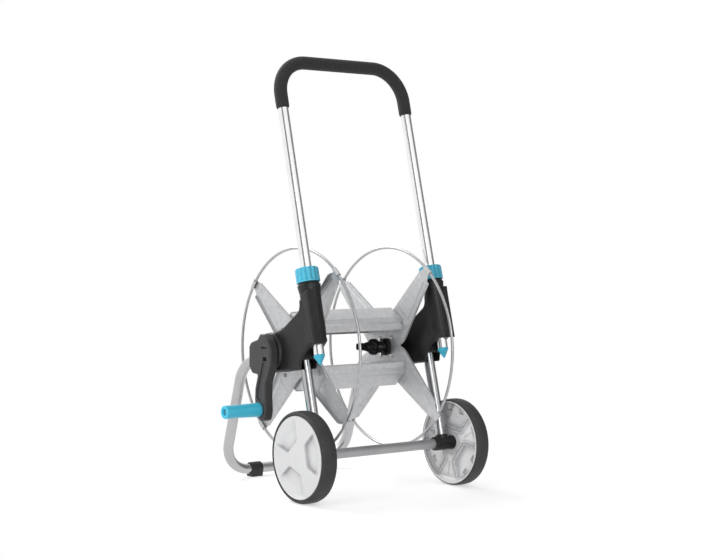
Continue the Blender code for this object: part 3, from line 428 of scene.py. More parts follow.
def pipe(path, radius=TUBE_R):
    """A hollow tube, open at both ends, with its end edges broken."""
    lip = 0.0004
    bore = radius - TUBE_WALL
    path = [Vector(p) for p in path]
    first = (path[1] - path[0]).normalized()
    last = (path[-1] - path[-2]).normalized()
    outer = [path[0], path[0] + first * lip, *path[1:-1], path[-1] - last * lip, path[-1]]
    ends = (0, len(outer) - 1)
    outside = sweep_rings(outer, lambda i: radius - lip if i in ends else radius, 48)
    inside = sweep_rings(outer, lambda i: bore + lip / 2 if i in ends else bore, 48)
    return loft(outside + inside[::-1], loop=True)


def rod(radius, low, high, sides=48):
    return lathe([(0, low), (radius, low), (radius, high), (0, high)], sides, radius=0.0005, steps=2)


def mesh_of(shape):
    """The shape as a mesh; piece() names it later."""
    mesh = bpy.data.meshes.new("mesh")
    shape.to_mesh(mesh)
    shape.free()
    return mesh


def box(size, centre=(0, 0, 0), edge=0.0):
    shape = bmesh.new()
    bmesh.ops.create_cube(shape, size=1)
    bmesh.ops.scale(shape, vec=size, verts=shape.verts)
    if edge:
        bmesh.ops.bevel(shape, geom=shape.edges[:], offset=edge, segments=3, profile=0.5, affect="EDGES")
    bmesh.ops.translate(shape, vec=centre, verts=shape.verts)
    return mesh_of(shape)


def slab(points, thickness, edge=0.0, segments=3):
    """A flat (Y, Z) outline, as thick as asked across X, with its rims rounded."""
    shape = bmesh.new()
    low = [shape.verts.new((-thickness / 2, y, z)) for y, z in points]
    high = [shape.verts.new((thickness / 2, y, z)) for y, z in points]
    count = len(points)
    for i in range(count):
        k = (i + 1) % count
        shape.faces.new((low[i], low[k], high[k], high[i]))
    shape.faces.new(low)
    shape.faces.new(high)
    bmesh.ops.recalc_face_normals(shape, faces=shape.faces)
    if edge:
        rims = [e for e in shape.edges if abs(e.verts[0].co.x - e.verts[1].co.x) < 1e-7]
        bmesh.ops.bevel(shape, geom=rims, offset=edge, segments=segments, profile=0.5, affect="EDGES")
    return mesh_of(shape)


def worked(thing, *tools):
    """The mesh that an object's modifiers give; the object and its tools are taken away."""
    seen = bpy.context.evaluated_depsgraph_get()
    made = bpy.data.meshes.new_from_object(thing.evaluated_get(seen))
    for used in (thing, *tools):
        bpy.data.objects.remove(used)
    return made


def carved(mesh, operation, *others):
    """The mesh joined with the others, or with them cut away."""
    body = add_object("work", mesh)
    tools = [add_object(f"tool{i}", other) for i, other in enumerate(others)]
    for tool in tools:
        step = body.modifiers.new(tool.name, "BOOLEAN")
        step.solver = "EXACT"
        step.operation = operation
        step.object = tool
    return worked(body, *tools)


def placed(mesh, matrix):
    made = mesh.copy()
    made.transform(matrix)
    return made


def merged(*meshes):
    shape = bmesh.new()
    for mesh in meshes:
        shape.from_mesh(mesh)
    return mesh_of(shape)


def mirrored(mesh):
    made = placed(mesh, Matrix.Scale(-1, 4, (1, 0, 0)))
    made.flip_normals()
    return made


def skin(field, low, high, pitch):
    """The surface where a distance field is zero, in even quads that are settled onto it."""
    axes = [np.arange(a, b + pitch, pitch) for a, b in zip(low, high)]
    grid = np.meshgrid(*axes, indexing="ij")
    inside = field(*grid) < 0
    nx, ny, nz = (n - 1 for n in inside.shape)
    count = np.zeros((nx, ny, nz), int)
    for i, j, k in np.ndindex(2, 2, 2):
        count += inside[i : nx + i, j : ny + j, k : nz + k]
    mixed = (count > 0) & (count < 8)
    number = np.full(mixed.shape, -1)
    number[mixed] = np.arange(mixed.sum())
    cells = np.argwhere(mixed)
    start = np.array([a[0] for a in axes]) + (cells + 0.5) * pitch
    p = start.copy()
    reach = pitch * 0.2
    for _ in range(5):
        value = field(*p.T)
        rises = [field(*(p + step).T) - field(*(p - step).T) for step in np.eye(3) * reach]
        slope = np.stack(rises, axis=1) / (2 * reach)
        size = np.maximum((slope**2).sum(axis=1), 0.25)
        p = p - (value / size)[:, None] * slope
        p = np.clip(p, start - pitch * 0.75, start + pitch * 0.75)
    faces = []
    for axis in range(3):
        a, b = [k for k in range(3) if k != axis]
        lows = [slice(None)] * 3
        highs = [slice(None)] * 3
        lows[axis] = slice(0, -1)
        highs[axis] = slice(1, None)
        change = np.argwhere(inside[tuple(lows)] != inside[tuple(highs)])
        sound = (change[:, a] > 0) & (change[:, b] > 0)
        sound &= (change[:, a] < inside.shape[a] - 1) & (change[:, b] < inside.shape[b] - 1)
        change = change[sound]
        quad = []
        for da, db in ((1, 1), (0, 1), (0, 0), (1, 0)):
            cell = change.copy()
            cell[:, a] -= da
            cell[:, b] -= db
            quad.append(number[tuple(cell.T)])
        faces.append(np.stack(quad, axis=1))
    return mesh_from(p, np.concatenate(faces).tolist())


# Distance fields for the moulded forms
def round_min(a, b, blend):
    h = np.maximum(blend - np.abs(a - b), 0) / blend
    return np.minimum(a, b) - h * h * blend / 4


def round_max(a, b, blend):
    return -round_min(-a, -b, blend)


def outline(corners, radii, steps):
    """A closed flat outline with its corners rounded."""
    return [(p.x, p.y) for p in corner_path([(*c, 0) for c in corners], radii, steps, True)]


def flat_field(points, y, z):
    """Signed distance to a closed outline in a plane."""
    best = np.full(y.shape, 1e9)
    inside = np.zeros(y.shape, bool)
    count = len(points)
    for i in range(count):
        ay, az = points[i]
        by, bz = points[(i + 1) % count]
        ey, ez = by - ay, bz - az
        wy, wz = y - ay, z - az
        t = np.clip((wy * ey + wz * ez) / (ey * ey + ez * ez), 0, 1)
        best = np.minimum(best, (wy - ey * t) ** 2 + (wz - ez * t) ** 2)
        crossing = (az > z) != (bz > z)
        if abs(ez) > 1e-12:
            inside ^= crossing & (y < ey * (z - az) / ez + ay)
    best = np.sqrt(best)
    return np.where(inside, -best, best)


def rod_field(x, y, z, centre, direction, radius):
    """Distance to an endless rod, and how far along it each point is."""
    d = Vector(direction).normalized()
    px, py, pz = x - centre[0], y - centre[1], z - centre[2]
    along = px * d.x + py * d.y + pz * d.z
    away = np.sqrt(np.maximum(px * px + py * py + pz * pz - along * along, 0))
    return away - radius, along


def piece(name, mesh, body, material, slot, *nodes, place=None, angle=34.0):
    """One visible piece: placed, shaded, on its body, and standing for the named CAD nodes."""
    mesh.transform(SHIFT @ place if place else SHIFT)
    mesh.name = name
    made = add_object(name, mesh)
    mesh.materials.clear()
    mesh.materials.append(material)
    mesh.shade_smooth()
    mesh.set_sharp_from_angle(angle=radians(angle))
    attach(made, body)
    if nodes:
        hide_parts(*nodes)
    return made


# Handle
def handle_path(low):
    corners = []
    for side, z in ((-1, low), (-1, HANDLE_TOP), (1, HANDLE_TOP), (1, low)):
        corners.append((side * SIDE_X, on_handle(z), z))
    return corner_path(corners, 0.07, 20)


piece(
    "handle_tube_polished", pipe(handle_path(HANDLE_LOW)), "handle", aluminium, "aluminium_tube",
    "handle_tube",
)


def grip_mesh():
    """Foam sleeve: evenly round, drawn in a little where its cut ends hug the tube."""
    path = handle_path(GRIP_LOW)
    dense = []
    for a, b in zip(path, path[1:]):
        steps = max(1, int((b - a).length / 0.004))
        dense += [a.lerp(b, i / steps) for i in range(steps)]
    dense.append(path[-1])
    lengths = [0.0]
    for a, b in zip(dense, dense[1:]):
        lengths.append(lengths[-1] + (b - a).length)
    total = lengths[-1]

    def outside(i):
        end = min(lengths[i], total - lengths[i])
        edge = 0.0011 * (1 - min(1.0, end / 0.0012) ** 0.5)
        return GRIP_R - edge - 0.0003 * exp(-end / 0.006)

    inside = sweep_rings(dense, TUBE_R + FIT, 48)
    return loft(sweep_rings(dense, outside, 48) + inside[::-1], loop=True)


grip = piece("grip_foam", grip_mesh(), "handle", foam, "foam_sleeve", "handle_grip")

PLUG_PROFILE = [
    (0, 0.012), (0.0088, 0.012), (0.0091, 0.0001), (TUBE_R + 0.0001, 0.0001),
    (TUBE_R + 0.0001, -0.003), (0.0012, -0.0203), (0, -0.0205),
]
plug_mesh = lathe(PLUG_PROFILE, 48, radius=0.0007, steps=3)
for name, side in SIDES:
    low = Vector((side * SIDE_X, on_handle(HANDLE_LOW), HANDLE_LOW)) - LEAN_DIR * FIT
    piece(
        f"tube_point_{name}", plug_mesh.copy(), "handle", blue, "blue_plastic", f"end_plug_{name}",
        place=Matrix.Translation(low) @ TILT,
    )


# Clamp collars
def collar_mesh():
    """A nut with wide shallow flutes, a chamfered top and a slightly tapered body."""
    flutes = 14
    depth = 0.0023
    profile = [
        (COLLAR_R - 0.004, COLLAR_LENGTH, 0.0), (COLLAR_R - 0.0024, COLLAR_LENGTH, 0.0),
        (COLLAR_R - 0.0019, COLLAR_LENGTH - 0.0003, 0.0),
        (COLLAR_R - 0.0007, COLLAR_LENGTH - 0.0018, 0.5),
        (COLLAR_R - 0.0004, COLLAR_LENGTH - 0.0026, 0.9),
        (COLLAR_R - 0.0002, COLLAR_LENGTH - 0.0036, 1.0), (COLLAR_R, 0.004, 1.0),
        (COLLAR_R, 0.0032, 0.7), (COLLAR_R, 0.0026, 0.0), (COLLAR_R, 0.0005, 0.0),
        (COLLAR_R - 0.0004, 0.0, 0.0), (0.0183, 0.0, 0.0), (0.0183, SPIGOT_RISE + 0.002, 0.0),
        (TUBE_R + 0.0006, COLLAR_LENGTH - 0.004, 0.0), (TUBE_R + 0.0006, COLLAR_LENGTH - 0.0004, 0.0),
        (TUBE_R + 0.001, COLLAR_LENGTH, 0.0),
    ]

    def dent(a):
        wave = 0.5 + 0.5 * cos(a * flutes)
        return depth * max(0.0, (wave - 0.35) / 0.65) ** 0.8

    return fluted(profile, flutes * 12, dent)


collar = collar_mesh()
for name, side in SIDES:
    piece(
        f"clamp_nut_{name}", collar.copy(), f"clamp_{name}", blue_collar, "blue_plastic",
        f"collar_{name}", place=at(side * SIDE_X, on_handle(COLLAR_LOW), COLLAR_LOW) @ TILT, angle=50,
    )


# Side housings
SLEEVE_AXIS = (0.0, -HANDLE_FRONT, AXLE_Z)
SLEEVE_TOP = (COLLAR_LOW - AXLE_Z) / cos(LEAN)
SLEEVE_LOW = (0.3065 - AXLE_Z) / cos(LEAN)
LEG_TOP = (LEG_HIGH + FIT - AXLE_Z) / cos(LEAN)
REAR_DIR = Vector((0, KNEE_Y - REEL_Y, KNEE_Z - REEL_Z)).normalized()
SOCKET_AT = Vector((0, REEL_Y, REEL_Z)) + REAR_DIR * (BOSS_R - 0.022)
ARM = [
    (on_handle(0.395), 0.395), (on_handle(0.395) + 0.013, 0.395), (0.0365, 0.3745), (0.092, 0.334),
    (REEL_Y, REEL_Z + BOSS_R - 0.0005), (REEL_Y + 0.01, REEL_Z), (REEL_Y, REEL_Z - BOSS_R + 0.0005),
    (0.0315, 0.2565), (0.029, 0.276), (-0.006, 0.3147), (on_handle(0.33) - 0.007, 0.33),
]
ARM_RADII = [0, 0.004, 0.022, 0.06, 0, 0, 0, 0.003, 0.006, 0.004, 0]
ARM_OUTLINE = outline(ARM, ARM_RADII, 8)
# How far the arm's outer face moves out for each metre towards the reel
ARM_FLARE = 0.08
RECESS = [
    (0.068, 0.24), (0.068, 0.266), (0.06, 0.2755), (0.0325, 0.2755), (0.037, 0.2945),
    (0.03, 0.3005), (-0.03, 0.3005), (-0.03, 0.24),
]
RECESS_OUTLINE = outline(RECESS, 0.003, 4)
HALF_GAP = 0.00015
SLEEVE_RISES = [-0.036, -0.021, -0.013, -0.0055, -0.004, -0.0002]
SLEEVE_RADII = [0.017, 0.0186, 0.0206, 0.0206, 0.021, 0.0224, 0.0233, 0.0212, 0.021]


def housing_field(x, y, z):
    """The left housing's form, with its outer face towards -X."""
    out = -x
    arm = flat_field(ARM_OUTLINE, y, z)
    outer = out - (0.02 + ARM_FLARE * y)
    inner = x - 0.02
    plate = round_max(round_max(arm, outer, 0.0022), inner, 0.006)
    plate = round_max(plate, (arm + outer) * 0.7071 + 0.003, 0.0012)
    tube, along = rod_field(x, y, z, SLEEVE_AXIS, LEAN_DIR, 0.0)
    length = SLEEVE_TOP - SLEEVE_LOW
    rises = [-length, 0.006 - length, 0.03 - length, *SLEEVE_RISES]
    radius = np.interp(along - SLEEVE_TOP, rises, SLEEVE_RADII)
    ends = np.abs(along - (SLEEVE_LOW + SLEEVE_TOP) / 2) - length / 2
    neck = round_max(tube - radius, ends, 0.0015)
    spigot = round_max(tube - SPIGOT_R, np.abs(along - SLEEVE_TOP) - SPIGOT_RISE, 0.001)
    by, bz = y - REEL_Y, z - REEL_Z
    from_axis = np.sqrt(by * by + bz * bz)
    ends = np.abs(out - (BOSS_OUT - BOSS_IN) / 2) - (BOSS_OUT + BOSS_IN) / 2
    boss = round_max(from_axis - BOSS_R, ends, 0.004)
    form = round_min(plate, neck, 0.0016)
    # The arm's face runs on flat across the sleeve and ends in a groove
    across = (y + HANDLE_FRONT) * cos(LEAN) - (z - AXLE_Z) * sin(LEAN)
    flank = round_max(np.abs(across + 0.0075) - 0.0125, out - 0.0212, 0.0012)
    flank = round_max(flank, (z - 0.4025 + 0.68 * across) / 1.21, 0.002)
    flank = np.maximum(np.maximum(flank, -out - 0.0002), 0.312 - z + 0.1 * across)
    form = round_min(form, flank, 0.0008)
    crease = np.sqrt((out - 0.0222) ** 2 + (across + 0.0188) ** 2) - 0.0019
    form = round_max(form, -np.maximum(crease, z - 0.41), 0.0006)
    form = round_min(form, boss, 0.0035)
    form = np.minimum(form, spigot)
    form = round_max(form, -(tube - BORE_R), 0.0006)
    leg, leg_along = rod_field(x, y, z, (0, 0, AXLE_Z), LEAN_DIR, BORE_R)
    form = round_max(form, -np.maximum(leg, leg_along - LEG_TOP), 0.0006)
    rear, rear_along = rod_field(x, y, z, SOCKET_AT, REAR_DIR, BORE_R)
    form = round_max(form, -np.maximum(rear, -FIT - rear_along), 0.0006)
    form = round_max(form, BEARING_R - from_axis, 0.0006)
    walls = np.maximum(x - 0.016, out - (0.016 + ARM_FLARE * y))
    hollow = round_max(flat_field(RECESS_OUTLINE, y, z), walls, 0.002)
    return round_max(form, -hollow, 0.0008)


def housing_half(outer):
    def field(x, y, z):
        form = housing_field(x, y, z)
        beyond = x + HALF_GAP if outer else HALF_GAP - x
        return round_max(form, beyond, 0.0005)

    low_x, high_x = (-0.034, 0.001) if outer else (-0.001, 0.0225)
    low, high = (low_x, -0.0185, 0.2425), (high_x, 0.1715, 0.4455)
    return skin(field, low, high, 0.0012)


HALVES = {"outer": housing_half(True), "inner": housing_half(False)}
for name, side in SIDES:
    for half, mesh in HALVES.items():
        shell = mirrored(mesh) if side > 0 else mesh.copy()
        piece(
            f"shell_{half}_{name}", shell, "frame", black, "black_plastic", f"housing_{half}_{name}",
            place=at(side * SIDE_X, 0, 0), angle=40,
        )


# Legs, rear frame, axle, feet and tees
AXLE_TUBE_END = 0.1805
ROD_REACH = WHEEL_X + WHEEL_WIDTH / 2 - 0.0067
for name, side in SIDES:
    low = Vector((side * SIDE_X, 0, AXLE_Z)) + LEAN_DIR * 0.0116
    high = Vector((side * SIDE_X, (LEG_HIGH - AXLE_Z) * tan(LEAN), LEG_HIGH))
    piece(
        f"leg_polished_{name}", pipe([low, high]), "frame", aluminium_leg_painted_darker, "aluminium_tube",
        f"leg_tube_{name}",
    )


def rear_path():
    start = SOCKET_AT + REAR_DIR * FIT
    side_run = [(start.y, start.z), (KNEE_Y, KNEE_Z), (RAIL_Y, RAIL_Z)]
    corners = [(-SIDE_X, y, z) for y, z in side_run] + [(SIDE_X, y, z) for y, z in side_run[::-1]]
    return corner_path(corners, [0, 0.07, 0.064, 0.064, 0.07, 0], 20)


piece(
    "rear_frame_polished", pipe(rear_path()), "frame", aluminium_bent_painted_darker, "aluminium_tube",
    "rear_frame_tube",
)
piece(
    "axle_tube_polished", pipe([(-AXLE_TUBE_END, 0, AXLE_Z), (AXLE_TUBE_END, 0, AXLE_Z)], 0.01), "frame",
    aluminium_across_painted_darker, "aluminium_tube", "axle_tube",
)
piece(
    "axle_bar", rod(0.004, -ROD_REACH, ROD_REACH, 32), "frame", steel, "steel_rod", "axle_rod",
    place=at(0, 0, AXLE_Z) @ ACROSS,
)
FOOT_LENGTH = 0.028
FOOT_IN = 0.065


def foot_mesh():
    """A rubber sleeve round the rail with a flat, ribbed sole."""
    bore = TUBE_R + 0.0006
    r = bore + 0.0025
    angles = [radians(a) for a in range(-20, 201, 5)]
    arc = [(r * cos(a), RAIL_Z + r * sin(a)) for a in angles]
    body = slab([(0.0105, 0.0), *arc, (-0.0105, 0.0)], FOOT_LENGTH, 0.0012)
    cuts = [placed(rod(bore, -0.05, 0.05), at(0, 0, RAIL_Z) @ ACROSS)]
    cuts += [box((0.0016, 0.05, 0.0016), (x, 0, 0)) for x in (-0.007, 0, 0.007)]
    return carved(body, "DIFFERENCE", *cuts)


foot = foot_mesh()
for name, side in SIDES:
    piece(
        f"foot_sleeve_{name}", foot.copy(), "frame", foot_rubber, "foot_rubber", f"rear_foot_{name}",
        place=at(side * (FOOT_IN + FOOT_LENGTH / 2), RAIL_Y, 0),
    )


def connector_field(x, y, z):
    """The right axle tee, from the axle's own height: a sleeve along X and a short one up the leg."""
    away = np.sqrt(y * y + z * z)
    sleeve = round_max(away - 0.0145, np.abs(x - 0.159) - 0.025, 0.003)
    stub, along = rod_field(x, y, z, (SIDE_X, 0, 0), LEAN_DIR, 0.0135)
    stub = round_max(stub, np.abs(along - 0.00875) - 0.00875, 0.0015)
    form = round_min(sleeve, stub, 0.003)
    seat, seat_along = rod_field(x, y, z, (SIDE_X, 0, 0), LEAN_DIR, BORE_R)
    form = round_max(form, -np.maximum(seat, 0.0112 - seat_along), 0.0005)
    form = round_max(form, -np.maximum(away - 0.0103, x - AXLE_TUBE_END - FIT), 0.0005)
    return round_max(form, AXLE_HOLE_R - away, 0.0003)


pitch = 0.0009
tee = skin(connector_field, (0.1325, -0.017, -0.0165), (0.1855, 0.0195, 0.0235), pitch)
for name, side in SIDES:
    piece(
        f"axle_tee_{name}", mirrored(tee) if side < 0 else tee.copy(), "frame", black_gloss,
        "black_plastic", f"axle_connector_{name}", place=at(0, 0, AXLE_Z), angle=50,
    )

# Wheels
PAD_IN = 0.0275
PAD_OUT = 0.078
PAD_HALF = radians(31.5)
PAD_APEX = -0.007
PAD_STARTS = (radians(48.5), radians(99))
FACE_IN = WHEEL_WIDTH - 0.0012
# The disc's rim laps over the tyre on the inner side
FLANGE_R = 0.0855
FLANGE_W = 0.0016
HUB_LOW = 0.1844 - (WHEEL_X - WHEEL_WIDTH / 2)


def smooth_step(t):
    t = np.clip(t, 0, 1)
    return t * t * (3 - 2 * t)


def pad_distance(u, v, start=PAD_IN):
    """How far inside one pad a point is, with the pad along +u."""
    side = np.abs(v) * cos(PAD_HALF) - (u - PAD_APEX) * sin(PAD_HALF)
    return -round_max(side, start - u, 0.005)


def outer_face(r, a):
    """Height of the wheel's outer face, from the disc's plane."""
    height = np.zeros(r.shape)
    for i in range(3):
        turn = a - i * 2 * pi / 3
        u, v = r * np.cos(turn), r * np.sin(turn)
        inside = pad_distance(u, v)
        deep = 0.0064 * np.clip(2.6 * (PAD_OUT - 0.003 - u * 0.25 - r * 0.75) / (PAD_OUT - PAD_IN), 0, 1)
        height -= deep * np.clip(inside / 0.003 + 0.6, 0, 1) ** 2
    lip = smooth_step((r - 0.0785) / 0.001) * smooth_step((DISC_R - 0.0003 - r) / 0.001)
    return height + 0.0005 * lip - 0.0016 * smooth_step((r - 0.0806) / 0.0011)


def inner_face(r, a):
    """Height of the wheel's inner face towards the axle, from the web's plane."""
    height = np.zeros(r.shape)
    for i in range(3):
        turn = a - i * 2 * pi / 3
        u, v = r * np.cos(turn), r * np.sin(turn)
        d = pad_distance(u, v, 0.033)
        height -= 0.005 * smooth_step(d / 0.0022 + 0.5) * np.clip((0.082 - r) / 0.03, 0.25, 1)
        for offset in (-0.0012, -0.0075):
            ridge = smooth_step(1.35 - np.abs(d - offset) / 0.0017)
            height += 0.0034 * ridge * smooth_step((0.079 - r) / 0.002)
        # A square block and a pocket near the rim at each side of the pad
        for sign in (-1, 1):
            pu, pv = u - 0.069, v - sign * 0.018
            block = np.maximum(np.abs(pu) - 0.0046, np.abs(pv) - 0.006)
            height -= 0.0026 * smooth_step(0.5 - block / 0.001)
            height += 0.0012 * smooth_step(1 - np.abs(block - 0.0012) / 0.0011)
        # A short rib across each arm of the star
        arm_u, arm_v = r * np.cos(turn + pi / 3), r * np.sin(turn + pi / 3)
        rib = np.maximum(np.abs(arm_v) - 0.001, np.abs(arm_u - 0.058) - 0.015)
        height += 0.0016 * smooth_step(0.5 - rib / 0.001)
        cross = np.maximum(np.abs(arm_u - 0.0705) - 0.001, np.abs(arm_v) - 0.012)
        height += 0.0016 * smooth_step(0.5 - cross / 0.001)
    ring = smooth_step(1 - np.abs(r - 0.0255) / 0.0014)
    return height + 0.0015 * ring


def wheel_mesh(start):
    """Disc, web and rim in one skin of rings round the axle; +Z is the outer face."""
    sides = 288
    angles = circle(sides)
    a = np.array(angles) - start
    rings = []

    def ring(r, heights):
        rings.append([(r * cos(t), r * sin(t), h) for t, h in zip(angles, heights)])

    step = 0.0011
    edge = [DISC_R - k for k in (0.002, 0.0014, 0.001, 0.0007, 0.0004, 0.0003)]
    for r in [*np.arange(0.0, DISC_R - 0.0022, step), *edge]:
        ring(r, FACE_IN + outer_face(np.full(a.shape, max(r, 1e-6)), a))
    rim = [
        (DISC_R - 0.0003, FLANGE_W + FIT), (FLANGE_R - 0.0004, FLANGE_W + FIT), (FLANGE_R, FLANGE_W),
        (FLANGE_R, 0.0004), (FLANGE_R - 0.0004, 0.0), (FLANGE_R - 0.0024, 0.0),
        (FLANGE_R - 0.0028, 0.0004), (FLANGE_R - 0.0034, 0.0052), (DISC_R - 0.0008, 0.0066),
    ]
    for r, h in rim:
        ring(r, [h] * sides)
    for r in np.arange(DISC_R - 0.0022, 0.017, -step):
        ring(r, 0.0075 - inner_face(np.full(a.shape, r), a))
    bore_top = ROD_REACH + FIT - (WHEEL_X - WHEEL_WIDTH / 2)
    hub = [
        (0.016, 0.007), (0.0157, 0.0074), (0.0157, HUB_LOW), (0.005, HUB_LOW),
        (AXLE_HOLE_R, HUB_LOW + 0.0005), (AXLE_HOLE_R, bore_top), (0.0, bore_top),
    ]
    for r, h in hub:
        ring(r, [h] * sides)
    return loft(rings, caps=False)


def tyre_mesh():
    """Solid rubber: flat tread with round shoulders, a raised bead against the disc and a mould line."""
    w = WHEEL_WIDTH
    profile = [
        (DISC_R, w - 0.0003), (DISC_R + 0.0007, w), (WHEEL_R - 0.0058, w),
        (WHEEL_R - 0.0034, w - 0.001), (WHEEL_R - 0.0014, w - 0.0032), (WHEEL_R - 0.0004, w - 0.0062),
        (WHEEL_R - 0.0001, w - 0.01), (WHEEL_R, w / 2 + 0.0006), (WHEEL_R + 0.00015, w / 2),
        (WHEEL_R, w / 2 - 0.0006), (WHEEL_R - 0.0001, 0.01), (WHEEL_R - 0.0004, 0.0062),
        (WHEEL_R - 0.0014, 0.0032), (WHEEL_R - 0.0022, 0.001), (FLANGE_R + 0.0007, 0.0),
        (FLANGE_R + 0.0003, 0.0004), (FLANGE_R + 0.0003, FLANGE_W + 2 * FIT),
        (DISC_R, FLANGE_W + 2 * FIT),
    ]
    return lathe(profile, 192, closed=True)


for (name, side), start in zip(SIDES, PAD_STARTS):
    turn = QUARTER + side * start
    spot = at(side * (WHEEL_X - WHEEL_WIDTH / 2), 0, AXLE_Z) @ spun(side * QUARTER, "Y")
    body = f"{name}_wheel"
    piece(f"disc_{name}", wheel_mesh(turn), body, pale, "pale_plastic", f"wheel_{name}", place=spot)
    piece(f"rubber_{name}", tyre_mesh(), body, tyre_rubber, "tyre_rubber", f"tyre_{name}", place=spot)

# Reel
SWING = at(0, REEL_Y, REEL_Z)
REEL = SWING @ spun(REEL_REST, "X")
ARM_NOTCH = 0.05
ARM_ROOT = ARM_NOTCH / sqrt(2)
ARM_TIP_HALF = 0.0135
PLATE_TIP = RING_R - 0.004
FOLD_R = 0.083
HOOK_R = WIRE_R + 0.0005 + SHEET / 2
FLARE = RING_X - HOOK_R - PLATE_X


def arm_half(r):
    if r <= ARM_ROOT:
        return r
    return ARM_ROOT + (ARM_TIP_HALF - ARM_ROOT) * (r - ARM_ROOT) / (RING_R - ARM_ROOT)


def plate_height(u, w, half):
    """How far out the stamped sheet stands: flared along the arm, sunk in its panel."""
    t = min(1.0, max(0.0, (u - FOLD_R) / (PLATE_TIP - FOLD_R)))
    soft = min(1.0, max(0.0, (u - FOLD_R + 0.004) / 0.008))
    rise = FLARE * t if soft >= 1 else FLARE * 0.004 / (PLATE_TIP - FOLD_R) * soft * soft
    inside = min(half - abs(w) - 0.0058, u - (FOLD_R + 0.0105), PLATE_TIP - 0.0165 - u)
    return rise - 0.0017 * smooth_step(inside / 0.0022)


def plate_point(u, w):
    """Between the round bore and the arm's root the rows go over from arcs to straight lines."""
    if u >= ARM_ROOT:
        return u, w
    k = (u - PLATE_BORE) / (ARM_ROOT - PLATE_BORE)
    a = w / u * pi / 4
    along = u * cos(a) * (1 - k) + u * k
    across = u * sin(a) * (1 - k) + w * k
    if abs(abs(w) - u) < 1e-9:
        # The edges of two arms meet on the diagonal
        middle = (along + abs(across)) / 2
        return middle, copysign(middle, across)
    return along, across


def plate_mesh(side):
    """Four stamped arms in one sheet, each with a sunk panel, side flanges and a hooked tip."""
    depths = [0.0, 0.001, 0.0024, 0.004, 0.0052, 0.006, 0.0068, 0.0076, 0.0084, 0.0096]
    rows = [PLATE_BORE, 0.012, 0.018, 0.026, 0.031, ARM_ROOT]
    rows += [0.04, 0.046, 0.054, 0.062, 0.07, 0.076, 0.078, 0.08, 0.082, 0.084, 0.086, 0.0885, 0.0905]
    rows += [FOLD_R + 0.0105 + k * 0.00055 for k in range(5)]
    rows += list(np.arange(0.1, PLATE_TIP - 0.021, 0.007))
    rows += [PLATE_TIP - 0.0187 + k * 0.00055 for k in range(5)]
    rows += [PLATE_TIP - k for k in (0.015, 0.012, 0.008, 0.004, 0.0)]
    flanged = [u for u in rows if ARM_ROOT + 0.002 < u < PLATE_TIP - 0.0115]
    first = rows.index(flanged[0])
    verts, faces = [], []
    for i in range(4):
        arm = radians(90 * i + 45)
        c, s = cos(arm), sin(arm)
        start = len(verts)
        for u in rows:
            half = arm_half(u)
            shrink = min(1.0, half / 0.0125)
            ws = [half - d * shrink for d in depths] + [max(half - 0.0125, 0) * f for f in (0.66, 0.33)]
            ws = sorted({round(w, 9) for w in ws}, reverse=True)
            while len(ws) < 12:
                ws.append(ws[-1] * 0.5)
            line = [-w for w in ws] + [0.0] + ws[::-1]
            narrow = 1.0
            if u > PLATE_TIP - 0.0121:
                narrow = 1 - (1 - 0.01 / arm_half(PLATE_TIP)) * (u - PLATE_TIP + 0.012) / 0.012
            for w in line:
                along, across = plate_point(u, w * narrow)
                x = PLATE_X + plate_height(u, w, half)
                verts.append((x, along * c - across * s, along * s + across * c))
        # Hook over the ring
        hook_steps = 16
        for k in range(1, hook_steps + 1):
            turn = radians(250) * k / hook_steps
            reach = RING_R + HOOK_R * sin(turn)
            x = RING_X - HOOK_R * cos(turn)
            for w in line:
                verts.append((x, reach * c - w * narrow * s, reach * s + w * narrow * c))
        width = len(line)
        for a in range(len(rows) + hook_steps - 1):
            for p in range(start + a * width, start + (a + 1) * width - 1):
                faces.append((p, p + 1, p + width + 1, p + width))
        # Side flanges, bent outwards
        for edge, sign in ((0, -1), (width - 1, 1)):
            last = [start + (first + n) * width + edge for n in range(len(flanged))]
            for turn, further in ((22.5, 0), (45, 0), (67.5, 0), (90, 0), (90, 0.0046)):
                bend = radians(turn)
                drop = 0.0016 * (1 - cos(bend)) + further
                new = []
                for n, u in enumerate(flanged):
                    half = arm_half(u)
                    taper = smooth_step(min(n, len(flanged) - 1 - n) / 2.0 + 0.15)
                    x = PLATE_X + plate_height(u, half, half) + drop * taper
                    w = sign * (half + 0.0016 * sin(bend) * 0.6)
                    new.append(len(verts))
                    verts.append((x, u * c - w * s, u * s + w * c))
                for n in range(len(flanged) - 1):
                    faces.append((last[n], last[n + 1], new[n + 1], new[n]))
                last = new
    made = add_object("plate", mesh_from(verts, faces))
    sheet = made.modifiers.new("Sheet", "SOLIDIFY")
    sheet.thickness = SHEET
    sheet.offset = 0
    size = (0.02, 0.0036, TAB_HIGH - TAB_LOW + 0.001)
    tab_z = (TAB_LOW + TAB_HIGH) / 2
    cuts = [box(size, (PLATE_X, y, z)) for y in (-TAB_Y, TAB_Y) for z in (-tab_z, tab_z)]
    solid = carved(worked(made), "DIFFERENCE", *cuts)
    return mirrored(solid) if side < 0 else solid


def hoop_mesh(x):
    rings = []
    for t in circle(180):
        reach = [(RING_R + WIRE_R * cos(a), WIRE_R * sin(a)) for a in circle(16)]
        rings.append([(x + out, r * cos(t), r * sin(t)) for r, out in reach])
    return loft(rings, loop=True)


for name, side in SIDES:
    piece(
        f"plate_stamped_{name}", plate_mesh(side), "reel", zinc, "galvanised_steel",
        f"disc_plate_{name}", place=REEL, angle=40,
    )
    hoop = hoop_mesh(side * RING_X)
    piece(f"hoop_{name}", hoop, "reel", zinc_wire, "galvanised_steel", f"ring_wire_{name}", place=REEL)


